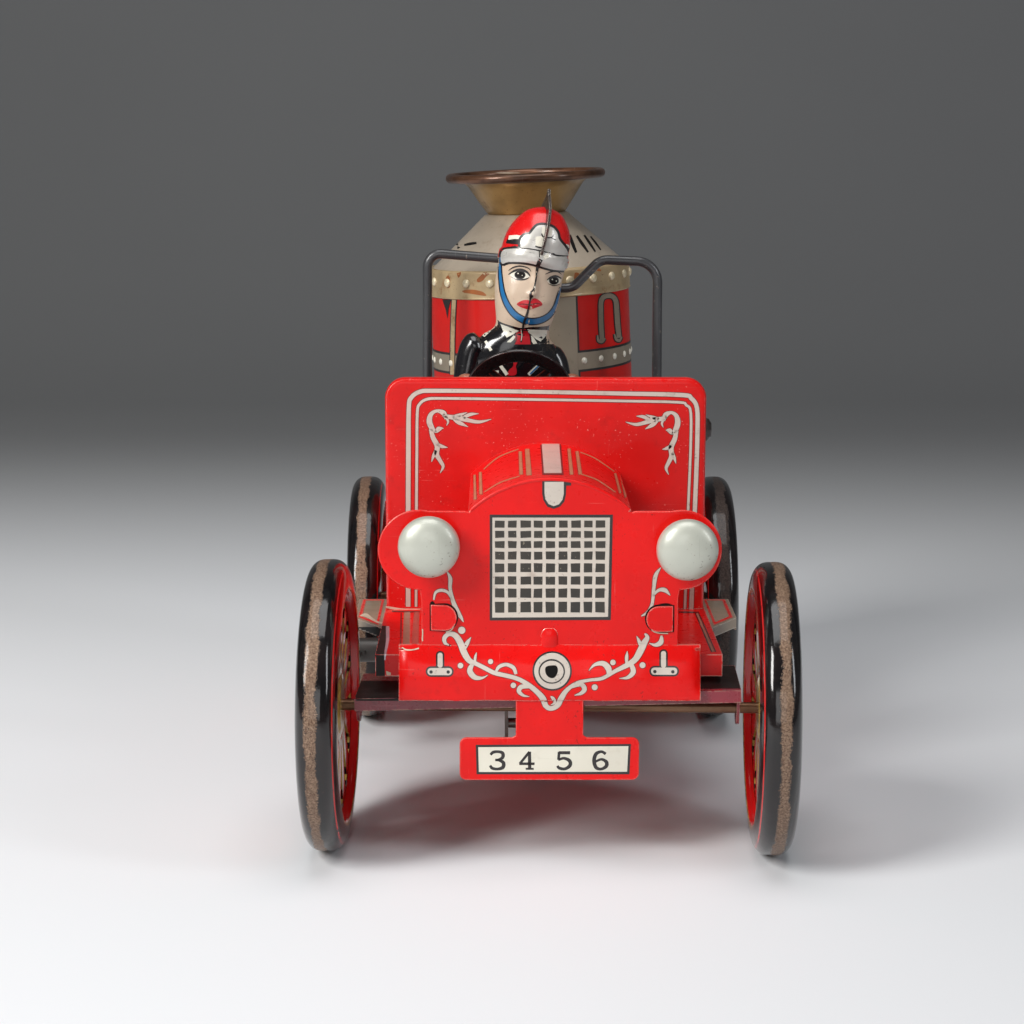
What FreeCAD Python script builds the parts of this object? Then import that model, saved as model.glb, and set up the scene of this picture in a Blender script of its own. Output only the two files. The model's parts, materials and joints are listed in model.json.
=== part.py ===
import FreeCAD, Part
import math
import os
from FreeCAD import Vector as V, Placement, Rotation

os.makedirs("parts", exist_ok=True)

# ---------------------------------------------------------------- dimensions
# Tin toy fire engine with a clockwork motor. Millimetres.
# X across the car, +Y towards the rear, +Z up, Z = 0 is the table top.
T = 0.5                    # tinplate thickness
T_TRAY = 0.6
FIT = 0.05                 # radial clearance of every running journal

WHEEL_R = 31.65
WHEEL_W = 8.8
SPOKES = 14
YF, YR, ZA = -66.7, 50.3, 31.65     # axle lines
XF_IN, XR_IN = 43.65, 41.05         # inner faces of the front and rear wheels
XF_SHIFT, XR_SHIFT = 0.4, 0.25      # end play taken up to the right
WK = WHEEL_W / 9.5                  # the wheel profile below is drawn for a width of 9.5
PIV_Y = YF + 5.5                    # vertical pivot of the front axle bracket
YAW_F = -1.9                        # the front axle stands turned by this much
BRACKET_TILT = -1.77                # its bracket sits a little askew
AXLE_R = 1.2

TRAY_HX, TRAY_Y0, TRAY_Y1 = 37.5, -68.3, 90.0
TRAY_Z, TRAY_LOW = 43.5, 38.7
REAR_END = 100.05

PLATE_Y = -74.95           # front face of the front plate
DASH_Y = -21.95            # front face of the dashboard
DASH_HX, DASH_Z0, DASH_Z1 = 37.2, 43.6, 98.0

EAR_X, EAR_Z, LAMP_R = 27.8, 67.7, 6.2
LAMPS = {"left": (-25.5, 69.1), "right": (28.8, 68.5)}

BON_HX, BON_WALL_Z, BON_TOP = 17.3, 75.7, 83.0

SEAT_Y0, SEAT_Y1, SEAT_HX, SEAT_Z = -6.0, 28.0, 30.0, 62.0
BACK_HX, BACK_Z = 31.5, 88.0

BOIL_Y, BOIL_R, BOIL_LEAN = 58.3, 26.0, -2.5
PLINTH_Z = 46.0

RAIL_Y, RAIL_R, RAIL_X, RAIL_TOP, RAIL_DIP = 30.3, 1.2, 29.0, 123.0, 114.7

STEER_C = V(-6.0, 2.3, 92.0)
STEER_R, STEER_TILT = 13.0, 31.0

DRV_X, DRV_Y = -8.6, 14.3
DRV_LEAN, DRV_YAW = 9.5, 10.0

MOD = 0.8                  # gear module
PRESS_ANGLE = 25.0
N_GREAT, N_IPIN, N_IGEAR, N_RPIN, N_GOV = 48, 12, 36, 12, 8
I_Y, I_Z = 31.31, 28.3     # intermediate arbor
ARB_D = 24.05              # centre distance arbor to intermediate
GOV_D = 17.68              # centre distance governor to intermediate
MP_X = 9.0                 # motor plates at +-MP_X


# ------------------------------------------------------------------- helpers
def cyl(axis, r, a, b, c1, c2):
    """Cylinder along an axis from a to b; c1, c2 are its other two coordinates."""
    lo, h = min(a, b), abs(b - a)
    if axis == "X":
        return Part.makeCylinder(r, h, V(lo, c1, c2), V(1, 0, 0))
    if axis == "Y":
        return Part.makeCylinder(r, h, V(c1, lo, c2), V(0, 1, 0))
    return Part.makeCylinder(r, h, V(c1, c2, lo), V(0, 0, 1))


def box(x0, x1, y0, y1, z0, z1):
    return Part.makeBox(abs(x1 - x0), abs(y1 - y0), abs(z1 - z0),
                        V(min(x0, x1), min(y0, y1), min(z0, z1)))


def face(pts):
    return Part.Face(Part.makePolygon(list(pts) + [pts[0]]))


def prism_xz(pts, y0, y1):
    return face([V(x, y0, z) for x, z in pts]).extrude(V(0, y1 - y0, 0))


def prism_xy(pts, z0, z1):
    return face([V(x, y, z0) for x, y in pts]).extrude(V(0, 0, z1 - z0))


def prism_yz(pts, x0, x1):
    return face([V(x0, y, z) for y, z in pts]).extrude(V(x1 - x0, 0, 0))


def rev_z(pts, cx, cy):
    """Revolve (r, z) points about the vertical through (cx, cy)."""
    f = face([V(cx + r, cy, z) for r, z in pts])
    return f.revolve(V(cx, cy, 0), V(0, 0, 1), 360)


def rev_x(pts, cy, cz):
    """Revolve (r, x) points about the line parallel to X through (cy, cz)."""
    f = face([V(x, cy + r, cz) for r, x in pts])
    return f.revolve(V(0, cy, cz), V(1, 0, 0), 360)


def rev_y(pts, cx, cz):
    """Revolve (r, y) points about the line parallel to Y through (cx, cz)."""
    f = face([V(cx + r, y, cz) for r, y in pts])
    return f.revolve(V(cx, 0, cz), V(0, 1, 0), 360)


def fuse(first, *rest):
    out = first
    for s in rest:
        out = out.fuse(s)
    return out.removeSplitter()


def arc_pts(cx, cz, r, a0, a1, n):
    return [(cx + r * math.cos(math.radians(a0 + (a1 - a0) * i / n)),
             cz + r * math.sin(math.radians(a0 + (a1 - a0) * i / n)))
            for i in range(n + 1)]


def turned(shape, centre, axis, deg):
    s = shape.copy()
    s.rotate(centre, axis, deg)
    return s


def mirrored(shape):
    return shape.mirror(V(0, 0, 0), V(1, 0, 0))


NODES = {}


def node(name, shape):
    NODES[name] = shape


# --------------------------------------------------------------- chassis tray
def make_tray():
    # a folded tray: deck, four down-turned flanges, two ears for the rear axle
    deck = box(-TRAY_HX, TRAY_HX, TRAY_Y0, TRAY_Y1, TRAY_Z - T_TRAY, TRAY_Z)
    s = deck
    for sx in (-1, 1):
        s = s.fuse(box(sx * TRAY_HX, sx * (TRAY_HX - T_TRAY), TRAY_Y0, TRAY_Y1,
                       TRAY_LOW, TRAY_Z))
        ear = [(YR - 9, TRAY_LOW + 0.5), (YR - 4.6, ZA)] + \
            arc_pts(YR, ZA, 4.6, 180, 360, 12) + [(YR + 4.6, ZA), (YR + 9, TRAY_LOW + 0.5)]
        dedup = [ear[0]]
        for p in ear[1:]:
            if abs(p[0] - dedup[-1][0]) + abs(p[1] - dedup[-1][1]) > 1e-6:
                dedup.append(p)
        s = s.fuse(prism_yz(dedup, sx * TRAY_HX, sx * (TRAY_HX - T_TRAY)))
    s = s.fuse(box(-TRAY_HX, TRAY_HX, TRAY_Y0, TRAY_Y0 + T_TRAY, TRAY_LOW, TRAY_Z))
    s = s.fuse(box(-TRAY_HX, TRAY_HX, TRAY_Y1 - T_TRAY, TRAY_Y1, TRAY_LOW, TRAY_Z))
    # motor opening for the great gear and the intermediate gear
    s = s.cut(box(-4.0, 5.0, -7.0, 39.0, TRAY_Z - 2, TRAY_Z + 2))
    s = s.cut(cyl("Z", 2.0, TRAY_Z - 3, TRAY_Z + 3, 0, PIV_Y))
    s = s.cut(cyl("X", AXLE_R + FIT, -TRAY_HX - 1, TRAY_HX + 1, YR, ZA))
    return s.removeSplitter()


node("chassis_tray", make_tray())


def side_step(sx):
    pts = [(TRAY_HX, -40.7), (44.2, -29.7), (44.2, -8.7), (TRAY_HX, -8.7)]
    s = prism_xy(pts, 42.7, 43.2)
    s = s.fuse(box(44.2 - T, 44.2, -29.7, -8.7, 40.4, 43.2))
    # front edge lip, folded down along the slant
    lip = prism_xy([(TRAY_HX, -40.7), (44.2, -29.7), (44.2 - 0.02, -29.15),
                    (TRAY_HX, -39.75)], 40.9, 43.2)
    s = s.fuse(lip).removeSplitter()
    return s if sx > 0 else mirrored(s)


node("side_step_right", side_step(1))
node("side_step_left", side_step(-1))


# ----------------------------------------------------------------- front plate
def front_plate():
    # half outline above the skirt ledge, then mirrored
    half = [(32.1, 46.4), (32.1, 46.9), (27.3, 46.9), (27.3, 57.0)]
    half += [(27.3 + 0.3, 59.12)]
    half += arc_pts(EAR_X, EAR_Z, 8.6, -88, 104, 22)
    half += [(17.9, 76.05)]
    r_arch = 24.6
    cz = 82.8 - r_arch
    a_end = math.degrees(math.acos(17.2 / r_arch))
    half += arc_pts(0, cz, r_arch, a_end, 90, 10)
    left = [(-x, z) for x, z in reversed(half[:-1])]
    upper = prism_xz(half + left, PLATE_Y, PLATE_Y + T)
    # skirt, bulging forwards and rolled back at its lower edge
    prof_o = [(PLATE_Y, 47.0), (PLATE_Y - 1.3, 45.0), (PLATE_Y - 2.3, 42.4),
              (PLATE_Y - 2.7, 39.5), (PLATE_Y - 2.6, 37.0), (PLATE_Y - 2.2, 35.5)]
    prof_i = [(y + T, z - 0.12) for y, z in prof_o]
    prof_i[-1] = (prof_o[-1][0] + T, 35.5)
    skirt = prism_yz(prof_o + prof_i[::-1], -32.1, 32.1)
    # stem and hanging number plate
    yb = PLATE_Y - 2.2
    stem = box(-7.2, 7.2, yb, yb + T, 27.0, 35.9)
    hw, z0, z1, r = 19.2, 18.0, 27.4, 1.5
    outline = arc_pts(hw - r, z0 + r, r, -90, 0, 5) + arc_pts(hw - r, z1 - r, r, 0, 90, 5) + \
        arc_pts(-hw + r, z1 - r, r, 90, 180, 5) + arc_pts(-hw + r, z0 + r, r, 180, 270, 5)
    number = prism_xz(outline, yb, yb + T)
    s = upper.fuse([skirt, stem, number])
    # punched flaps low on each side
    for sx in (-1, 1):
        s = s.cut(box(sx * 20.9, sx * 21.6, PLATE_Y - 1, PLATE_Y + 2, 50.6, 57.2))
    # starting-crank hole
    s = s.cut(cyl("Y", 0.9, PLATE_Y - 5, PLATE_Y + 3, 0.7, 41.2))
    return s.removeSplitter()


node("front_plate", front_plate())

for side in ("left", "right"):
    lx, lz = LAMPS[side]
    cup = rev_y([(0.0, PLATE_Y), (LAMP_R - 0.9, PLATE_Y), (LAMP_R - 0.1, PLATE_Y - 1.2),
                 (LAMP_R, PLATE_Y - 4.4), (LAMP_R - 0.4, PLATE_Y - 4.4),
                 (LAMP_R - 0.5, PLATE_Y - 1.4), (LAMP_R - 1.1, PLATE_Y - 0.4),
                 (0.0, PLATE_Y - 0.4)], lx, lz)
    node("headlamp_cup_" + side, cup)
    outer = [(LAMP_R + 0.25, PLATE_Y - 3.6), (LAMP_R + 0.25, PLATE_Y - 4.9)]
    inner = [(LAMP_R + 0.02, PLATE_Y - 3.6), (LAMP_R + 0.02, PLATE_Y - 4.6)]
    for i in range(1, 9):
        a = math.radians(90 * i / 8)
        outer.append(((LAMP_R + 0.25) * math.cos(a), PLATE_Y - 4.9 - 2.7 * math.sin(a)))
        inner.append(((LAMP_R + 0.02) * math.cos(a), PLATE_Y - 4.6 - 2.6 * math.sin(a)))
    outer[-1] = (0.0, PLATE_Y - 4.9 - 2.7)
    inner[-1] = (0.0, PLATE_Y - 4.6 - 2.6)
    node("headlamp_cap_" + side, rev_y(outer + inner[::-1], lx, lz))


# ----------------------------------------------------------------------- hood
def bonnet():
    def section(hx, wall_z, top, z0):
        rise = top - wall_z
        r = (hx * hx + rise * rise) / (2 * rise)
        cz = top - r
        a0 = math.degrees(math.asin((wall_z - cz) / r))
        pts = [(hx, z0)] + arc_pts(0, cz, r, a0, 180 - a0, 20) + [(-hx, z0)]
        return pts
    y0, y1 = PLATE_Y + T, DASH_Y
    s = prism_xz(section(BON_HX, BON_WALL_Z, BON_TOP, TRAY_Z), y0, y1)
    s = s.cut(prism_xz(section(BON_HX - T, BON_WALL_Z - 0.2, BON_TOP - T, TRAY_Z - 1), y0 - 1, y1 + 1))
    # feet turned outwards on the deck
    for sx in (-1, 1):
        s = s.fuse(box(sx * (BON_HX - T), sx * (BON_HX + 2.2), TRAY_Y0 + 2, y1 - 2, TRAY_Z, TRAY_Z + T))
    return s.removeSplitter()


node("bonnet", bonnet())


# ------------------------------------------------------------------ dashboard
def dashboard():
    def outline(d):
        hx, z1, r = DASH_HX - d, DASH_Z1 - d, 4.7 - d
        return [(hx, DASH_Z0)] + arc_pts(hx - r, z1 - r, r, 0, 90, 8) + \
            arc_pts(-hx + r, z1 - r, r, 90, 180, 8) + [(-hx, DASH_Z0)]
    s = prism_xz(outline(0), DASH_Y, DASH_Y + 3.0)
    s = s.cut(prism_xz([(p[0], p[1] - (0.6 if i in (0, len(outline(T)) - 1) else 0))
                        for i, p in enumerate(outline(T))], DASH_Y + T, DASH_Y + 4))
    # foot turned rearwards on the deck
    s = s.fuse(box(-30, 30, DASH_Y, DASH_Y + 4.0, DASH_Z0, DASH_Z0 + T))
    return s


nrm = V(0, math.cos(math.radians(STEER_TILT)), math.sin(math.radians(STEER_TILT)))
COL_R = 1.5
dash = dashboard()
pen = STEER_C - nrm * ((STEER_C.y - (DASH_Y + T)) / nrm.y)     # column through the dash
dash = dash.cut(Part.makeCylinder(COL_R + 0.5, 12, pen - nrm * 6, nrm))
node("dashboard", dash.removeSplitter())

bush = Part.makeCylinder(3.4, 4.0, pen - nrm * 0.5, nrm)
bush = bush.cut(box(-40, 40, DASH_Y - 20, DASH_Y + T, 60, 95))
bush = bush.cut(Part.makeCylinder(COL_R + FIT, 14, pen - nrm * 7, nrm))
node("steering_bush", bush)

# --------------------------------------------------------------- steering gear
hub_lo = STEER_C - nrm * 1.2
column = Part.makeCylinder(COL_R, (hub_lo - pen).Length + 4.0, pen - nrm * 4.0, nrm)
node("steering_column", column)


def steering_wheel():
    e1 = V(1, 0, 0)
    z = V(0, 0, 1)
    # flat pressed ring with four arms and a hub, built flat then tilted
    ring = Part.makeCylinder(STEER_R, 1.1).cut(Part.makeCylinder(STEER_R - 3.4, 3, V(0, 0, -1)))
    bead = Part.makeTorus(STEER_R - 0.6, 0.6, V(0, 0, 0.55))
    hub = Part.makeCylinder(2.6, 1.8)
    s = ring.fuse([bead, hub])
    for a in (45, 135, 225, 315):
        arm = Part.makeBox(STEER_R - 4.2, 1.8, 0.7, V(1.6, -0.9, 0.2))
        arm.rotate(V(0, 0, 0), z, a)
        s = s.fuse(arm)
    s = s.removeSplitter()
    s.rotate(V(0, 0, 0), e1, -(90 - STEER_TILT))
    s.translate(hub_lo)
    return s


node("steering_wheel", steering_wheel())


# ------------------------------------------------------------------------ seat
def seat_box():
    s = box(-SEAT_HX, SEAT_HX, SEAT_Y0, SEAT_Y1, TRAY_Z, SEAT_Z)
    s = s.cut(box(-SEAT_HX + T, SEAT_HX - T, SEAT_Y0 + T, SEAT_Y1 - T, TRAY_Z - 1, SEAT_Z - T))
    return s


node("seat_box", seat_box())


def seat_back():
    r = 6.0
    pts = [(BACK_HX, TRAY_Z)] + arc_pts(BACK_HX - r, BACK_Z - r, r, 0, 90, 8) + \
        arc_pts(-BACK_HX + r, BACK_Z - r, r, 90, 180, 8) + [(-BACK_HX, TRAY_Z)]
    s = prism_xz(pts, SEAT_Y1, SEAT_Y1 + T)
    # side wings turned forwards beside the bench
    for sx in (-1, 1):
        wing = [(SEAT_Y1, TRAY_Z), (SEAT_Y1, 79.0), (SEAT_Y1 - 5, 77.5), (SEAT_Y1 - 11, 70.0),
                (SEAT_Y1 - 22, 67.0), (SEAT_Y1 - 25, 63.5), (SEAT_Y1 - 25, TRAY_Z)]
        s = s.fuse(prism_yz(wing, sx * BACK_HX, sx * (BACK_HX - T)))
    return s.removeSplitter()


node("seat_back", seat_back())


# -------------------------------------------------------------------- handrail
def handrail():
    def arc_at(p0, p1, p2, r):
        """Tangent arc of radius r in the corner p0-p1-p2: start, middle, end."""
        a = (p0 - p1).normalize()
        b = (p2 - p1).normalize()
        half = a.getAngle(b) / 2
        d = r / math.tan(half)
        s, e = p1 + a * d, p1 + b * d
        bis = (a + b).normalize()
        c = p1 + bis * (r / math.sin(half))
        return s, c - bis * r, e
    z_hi, z_lo = RAIL_TOP - RAIL_R, RAIL_DIP
    pts = [V(-RAIL_X, RAIL_Y, TRAY_Z), V(-RAIL_X + 0.2, RAIL_Y, z_hi + 1.7),
           V(-8.3, RAIL_Y, z_hi + 0.1), V(-2.2, RAIL_Y, z_lo), V(7.6, RAIL_Y, z_lo),
           V(14.6, RAIL_Y, z_hi), V(RAIL_X, RAIL_Y, z_hi - 0.6), V(RAIL_X, RAIL_Y, TRAY_Z)]
    radii = [None, 3.4, 3.6, 3.6, 4.5, 4.5, 5.5, None]
    edges, last = [], pts[0]
    for i in range(1, len(pts) - 1):
        s, m, e = arc_at(pts[i - 1], pts[i], pts[i + 1], radii[i])
        edges.append(Part.makeLine(last, s))
        edges.append(Part.Arc(s, m, e).toShape())
        last = e
    edges.append(Part.makeLine(last, pts[-1]))
    path = Part.Wire(edges)
    tangent = (pts[1] - pts[0]).normalize()
    circle = Part.Wire([Part.makeCircle(RAIL_R, pts[0], tangent)])
    s = path.makePipeShell([circle], True, False)
    s = s.cut(box(-60, 60, RAIL_Y - 5, RAIL_Y + 5, TRAY_Z - 5, TRAY_Z))
    return s


rail = handrail()
node("handrail", rail)
clips = []
for sx in (-1, 1):
    for z in (56.0, 80.0):
        c = box(sx * (RAIL_X - 2.2), sx * (RAIL_X + 2.2), SEAT_Y1 + T, RAIL_Y + 1.9, z, z + 3.0)
        c = c.cut(box(sx * (RAIL_X - 5), sx * (RAIL_X - 1.9), RAIL_Y - 0.4, RAIL_Y + 3, z - 1, z + 4))
        c = c.cut(box(sx * (RAIL_X + 1.9), sx * (RAIL_X + 5), RAIL_Y - 0.4, RAIL_Y + 3, z - 1, z + 4))
        c = c.cut(rail)
        clips.append(c.Solids[0] if len(c.Solids) == 1 else
                     sorted(c.Solids, key=lambda q: -q.Volume)[0])
node("handrail_clips", Part.makeCompound(clips))


# ---------------------------------------------------------------------- boiler
def lean(s):
    return turned(s, V(0, BOIL_Y, PLINTH_Z), V(0, 1, 0), BOIL_LEAN)


below = box(-60, 60, BOIL_Y - 60, BOIL_Y + 60, 0, PLINTH_Z)
node("boiler_plinth", rev_z([(24.0, TRAY_Z), (28.4, TRAY_Z), (28.4, 44.6), (27.4, PLINTH_Z),
                             (24.0, PLINTH_Z)], 0, BOIL_Y))
shell = rev_z([(BOIL_R - T, 40.0), (BOIL_R, 40.0), (BOIL_R, 118.4), (BOIL_R - T, 118.4)], 0, BOIL_Y)
node("boiler_shell", lean(shell).cut(below))
node("boiler_collar", lean(rev_z([(BOIL_R, 112.0), (BOIL_R + 0.45, 112.0), (BOIL_R + 0.45, 119.0),
                                  (24.95, 119.0), (24.95, 118.5), (BOIL_R, 118.5)], 0, BOIL_Y)))
node("boiler_shoulder", lean(rev_z([(22.0, 118.0), (25.4, 118.0), (25.4, 118.4), (24.9, 118.5),
                                    (24.9, 118.9), (10.6, 132.2), (9.6, 132.2), (9.6, 131.75),
                                    (10.4, 131.7), (24.0, 119.0), (24.0, 118.4), (22.0, 118.4)],
                                   0, BOIL_Y)))
fun_o = [(10.0, 132.2), (10.35, 132.6), (11.6, 134.4), (13.7, 137.5), (15.7, 140.1), (18.6, 141.3)]
fun_i = [(18.4, 141.75), (15.4, 140.55), (13.25, 137.8), (11.15, 134.7), (9.95, 132.95), (9.6, 132.65)]
bead = [(19.65 + 1.15 * math.cos(math.radians(a)), 141.8 + 1.15 * math.sin(math.radians(a)))
        for a in range(-150, 180, 30)]
cup = rev_z(fun_o + bead + fun_i + [(0.0, 132.65), (0.0, 132.2)], 0, BOIL_Y)
node("funnel", lean(cup))

rivets = []
for i in range(24):
    a = 360.0 / 24 * i + 7.5
    r = Part.makeSphere(1.15, V(0, 0, 0))
    r.translate(V(BOIL_R + 0.45 - 0.55, 0, 0))
    keep = Part.makeCylinder(4, 4, V(BOIL_R + 0.45, 0, 0), V(1, 0, 0))
    r = r.common(keep)
    r.rotate(V(0, 0, 0), V(0, 0, 1), a)
    r.translate(V(0, BOIL_Y, 116.0))
    r2 = r.cut(rev_z([(0, 111), (BOIL_R + 0.45, 111), (BOIL_R + 0.45, 121), (0, 121)], 0, BOIL_Y))
    rivets.append(lean(r2))
node("collar_rivets", Part.makeCompound(rivets))


# ------------------------------------------------------------------- rear step
def rear_step():
    s = box(-30, 30, TRAY_Y1, TRAY_Y1 + T, 29.0, TRAY_Z)
    s = s.fuse(box(-30, 30, TRAY_Y1, REAR_END, 29.0, 29.0 + T))
    s = s.fuse(box(-30, 30, REAR_END - T, REAR_END, 26.6, 29.5))
    return s.removeSplitter()


node("rear_step", rear_step())


# ------------------------------------------------------------ front axle bracket
def front_bracket():
    y0, y1, x = YF - 8.0, YF + 15.0, 41.4
    top = 36.2
    s = box(-x, x, y0, y1, top - 0.8, top)
    s = s.fuse(box(-x, x, y0, y0 + 0.6, top - 2.7, top))
    s = turned(s, V(0, YF, top - 0.4), V(0, 1, 0), BRACKET_TILT)
    for sx in (-1, 1):
        zt = top - 0.4 + sx * 1.25
        ear = [(YF - 5.0, zt), (YF - 4.0, ZA)] + arc_pts(YF, ZA, 3.6, 195, 345, 10) + \
            [(YF + 4.0, ZA), (YF + 5.0, zt)]
        s = s.fuse(prism_yz(ear, sx * (x - 0.02), sx * (x - 0.7)))
    # raised bridge that turns on the pivot rivet under the tray
    zb = TRAY_Z - T_TRAY - 0.1
    s = s.fuse(box(-14, 14, PIV_Y - 5.0, PIV_Y - 4.4, 35.5, zb))
    s = s.fuse(box(-14, 14, PIV_Y + 4.4, PIV_Y + 5.0, 35.5, zb))
    s = s.fuse(box(-14, 14, PIV_Y - 5.0, PIV_Y + 5.0, zb - 0.6, zb))
    s = s.cut(cyl("X", AXLE_R + FIT, -60, 60, YF, ZA))
    s = s.cut(cyl("Z", 2.0 + FIT, 30, 50, 0, PIV_Y))
    return s.removeSplitter()


def steer_set(s):
    """Front axle parts stand turned about the pivot rivet."""
    return turned(s, V(0, PIV_Y, 0), V(0, 0, 1), YAW_F)


node("front_axle_bracket", steer_set(front_bracket()))

# two tabs from the front plate to the deck, and the bracket's pivot rivet
fast = []
for sx in (-1, 1):
    tab = box(sx * 22.0, sx * 26.0, PLATE_Y + T, -60.0, TRAY_Z, TRAY_Z + T)
    tab = tab.fuse(box(sx * 22.0, sx * 26.0, PLATE_Y + T, PLATE_Y + 2 * T, TRAY_Z, 52.0))
    fast.append(tab.removeSplitter())
zb = TRAY_Z - T_TRAY - 0.1 - 0.6
rivet = cyl("Z", 2.0, zb - 0.4, TRAY_Z + 0.2, 0, PIV_Y)
rivet = rivet.fuse(cyl("Z", 3.4, zb - 1.0, zb - 0.1, 0, PIV_Y)).fuse(cyl("Z", 3.2, TRAY_Z, TRAY_Z + 0.8, 0, PIV_Y))
fast.append(rivet.removeSplitter())
node("front_tabs_and_pivot_rivet", Part.makeCompound(fast))


# ---------------------------------------------------------------------- wheels
def spoke_windows(x0, x1, cy, cz):
    cuts = []
    step = 360.0 / SPOKES
    for i in range(SPOKES):
        a = step * (i + 0.5)
        pts = []
        for r, h in ((10.2, 2.6), (9.2, 0.0), (10.2, -2.6), (21.6, -5.6), (22.6, -4.2),
                     (22.9, 0.0), (22.6, 4.2), (21.6, 5.6)):
            t = math.radians(a + h)
            pts.append((cy + r * math.cos(t), cz + r * math.sin(t)))
        cuts.append(prism_yz(pts, x0, x1))
    return cuts


WHEEL_OUT = [(31.65, 0.0), (31.65, 1.4), (31.5, 2.2), (31.05, 3.0), (30.2, 3.8), (29.1, 4.35),
             (27.6, 4.65), (25.9, 4.75), (25.3, 4.5), (25.0, 3.9), (24.8, 2.75), (7.2, 2.75),
             (6.4, 3.1), (5.4, 3.3), (AXLE_R, 3.3)]
WHEEL_IN = [(AXLE_R, 2.8), (5.3, 2.8), (6.2, 2.67), (7.0, 2.25), (25.25, 2.25), (25.45, 3.8),
            (25.65, 4.2), (25.95, 4.3), (27.5, 4.2), (28.92, 3.93), (29.93, 3.43), (30.68, 2.72),
            (31.05, 2.05), (31.2, 1.35), (31.2, 0.0)]


def wheel(xc, side, cy):
    """Outer and inner pressings of a wheel centred at xc; side is +1 on the right."""
    out = []
    for d in (side, -side):
        prof = [(r, xc + d * u * WK) for r, u in WHEEL_OUT + WHEEL_IN]
        s = rev_x(prof, cy, ZA)
        lo, hi = sorted((xc + d * 1.5, xc + d * 6.0))
        s = s.cut(Part.makeCompound(spoke_windows(lo, hi, cy, ZA)))
        out.append(s)
    return out


def hub_cap(xc, side, cy):
    prof = [(AXLE_R, 3.3), (4.2, 3.3), (4.0, 3.9), (3.2, 4.3), (1.8, 4.5), (0.0, 4.55), (0.0, 4.1), (AXLE_R, 4.1)]
    return rev_x([(r, xc + side * u * WK) for r, u in prof], cy, ZA)


for end, cy, xin, dx in (("front", YF, XF_IN, XF_SHIFT), ("rear", YR, XR_IN, XR_SHIFT)):
    place = steer_set if end == "front" else (lambda q: q)
    caps = []
    for side_name, sd in (("left", -1), ("right", 1)):
        xc = sd * (xin + WHEEL_W / 2) + dx
        o, i = wheel(xc, sd, cy)
        node("%s_wheel_%s_outer" % (end, side_name), place(o))
        node("%s_wheel_%s_inner" % (end, side_name), place(i))
        caps.append(place(hub_cap(xc, sd, cy)))
    node("%s_hub_caps" % end, Part.makeCompound(caps))
    xe = xin + WHEEL_W / 2 + 4.1 * WK
    node("%s_axle" % end, place(cyl("X", AXLE_R, -xe + dx, xe + dx, cy, ZA)))


# ------------------------------------------------------------- clockwork motor
def gear(teeth, phase_deg, x0, x1, cy, cz, bore):
    """Involute spur gear about an X line; phase is the angle of one tooth's centre."""
    m, alpha = MOD, math.radians(PRESS_ANGLE)
    rp = m * teeth / 2
    rb = rp * math.cos(alpha)
    ra = rp + 0.72 * m
    rr = rp - 1.05 * m
    inv = lambda a: math.tan(a) - a
    half_p = (math.pi * m / 2 - 0.16) / (2 * rp)        # half tooth angle at the pitch circle
    pts = []
    for k in range(teeth):
        mid = math.radians(phase_deg) + 2 * math.pi * k / teeth
        flank = []
        r_start = max(rb, rr)
        for j in range(4):
            r = r_start + (ra - r_start) * j / 3
            ang = half_p + inv(alpha) - inv(math.acos(min(1.0, rb / r)))
            flank.append((r, ang))
        root_ang = flank[0][1]
        if rr < rb:
            flank = [(rr, root_ang)] + flank
        for r, a in flank:
            pts.append((cy + r * math.cos(mid - a), cz + r * math.sin(mid - a)))
        for r, a in reversed(flank):
            pts.append((cy + r * math.cos(mid + a), cz + r * math.sin(mid + a)))
    s = prism_yz(pts, x0, x1)
    if bore:
        s = s.cut(cyl("X", bore, x0 - 1, x1 + 1, cy, cz))
    return s


def mesh_phase(phase_a, teeth_a, ca, teeth_b, cb):
    """Phase of gear b so that its gap meets gear a's tooth on the line of centres."""
    pa, pb = 360.0 / teeth_a, 360.0 / teeth_b
    phi = math.degrees(math.atan2(cb[1] - ca[1], cb[0] - ca[0]))
    f = ((phi - phase_a) / pa) % 1.0
    return phi + 180.0 - pb * (0.5 - f)


dir_arb = V(0, -24.0, -1.3).normalize()
A_Y, A_Z = I_Y + dir_arb.y * ARB_D, I_Z + dir_arb.z * ARB_D
dir_gov = V(0, 11.3, -13.5).normalize()
G_Y, G_Z = I_Y + dir_gov.y * GOV_D, I_Z + dir_gov.z * GOV_D

ph_igear = 0.0
ph_rpin = mesh_phase(ph_igear, N_IGEAR, (I_Y, I_Z), N_RPIN, (YR, ZA))
ph_gov = mesh_phase(ph_igear, N_IGEAR, (I_Y, I_Z), N_GOV, (G_Y, G_Z))
ph_ipin = 0.0
ph_great = mesh_phase(ph_ipin, N_IPIN, (I_Y, I_Z), N_GREAT, (A_Y, A_Z))

ARB_R, INT_R, GOV_R = 1.8, 1.2, 0.8

great = gear(N_GREAT, ph_great, -2.0, -1.2, A_Y, A_Z, ARB_R)
for a in range(5):
    t = math.radians(72 * a + 10)
    great = great.cut(cyl("X", 3.6, -4, 1, A_Y + 11.2 * math.cos(t), A_Z + 11.2 * math.sin(t)))
node("great_gear", great)
igear = gear(N_IGEAR, ph_igear, 2.0, 2.8, I_Y, I_Z, INT_R)
for a in range(4):
    t = math.radians(90 * a + 45)
    igear = igear.cut(cyl("X", 3.0, 1, 4, I_Y + 8.0 * math.cos(t), I_Z + 8.0 * math.sin(t)))
node("intermediate_gear", igear)
node("rear_pinion", gear(N_RPIN, ph_rpin, 1.4, 3.4, YR, ZA, AXLE_R))

PLATE_OUT = MP_X + 0.4
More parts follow.
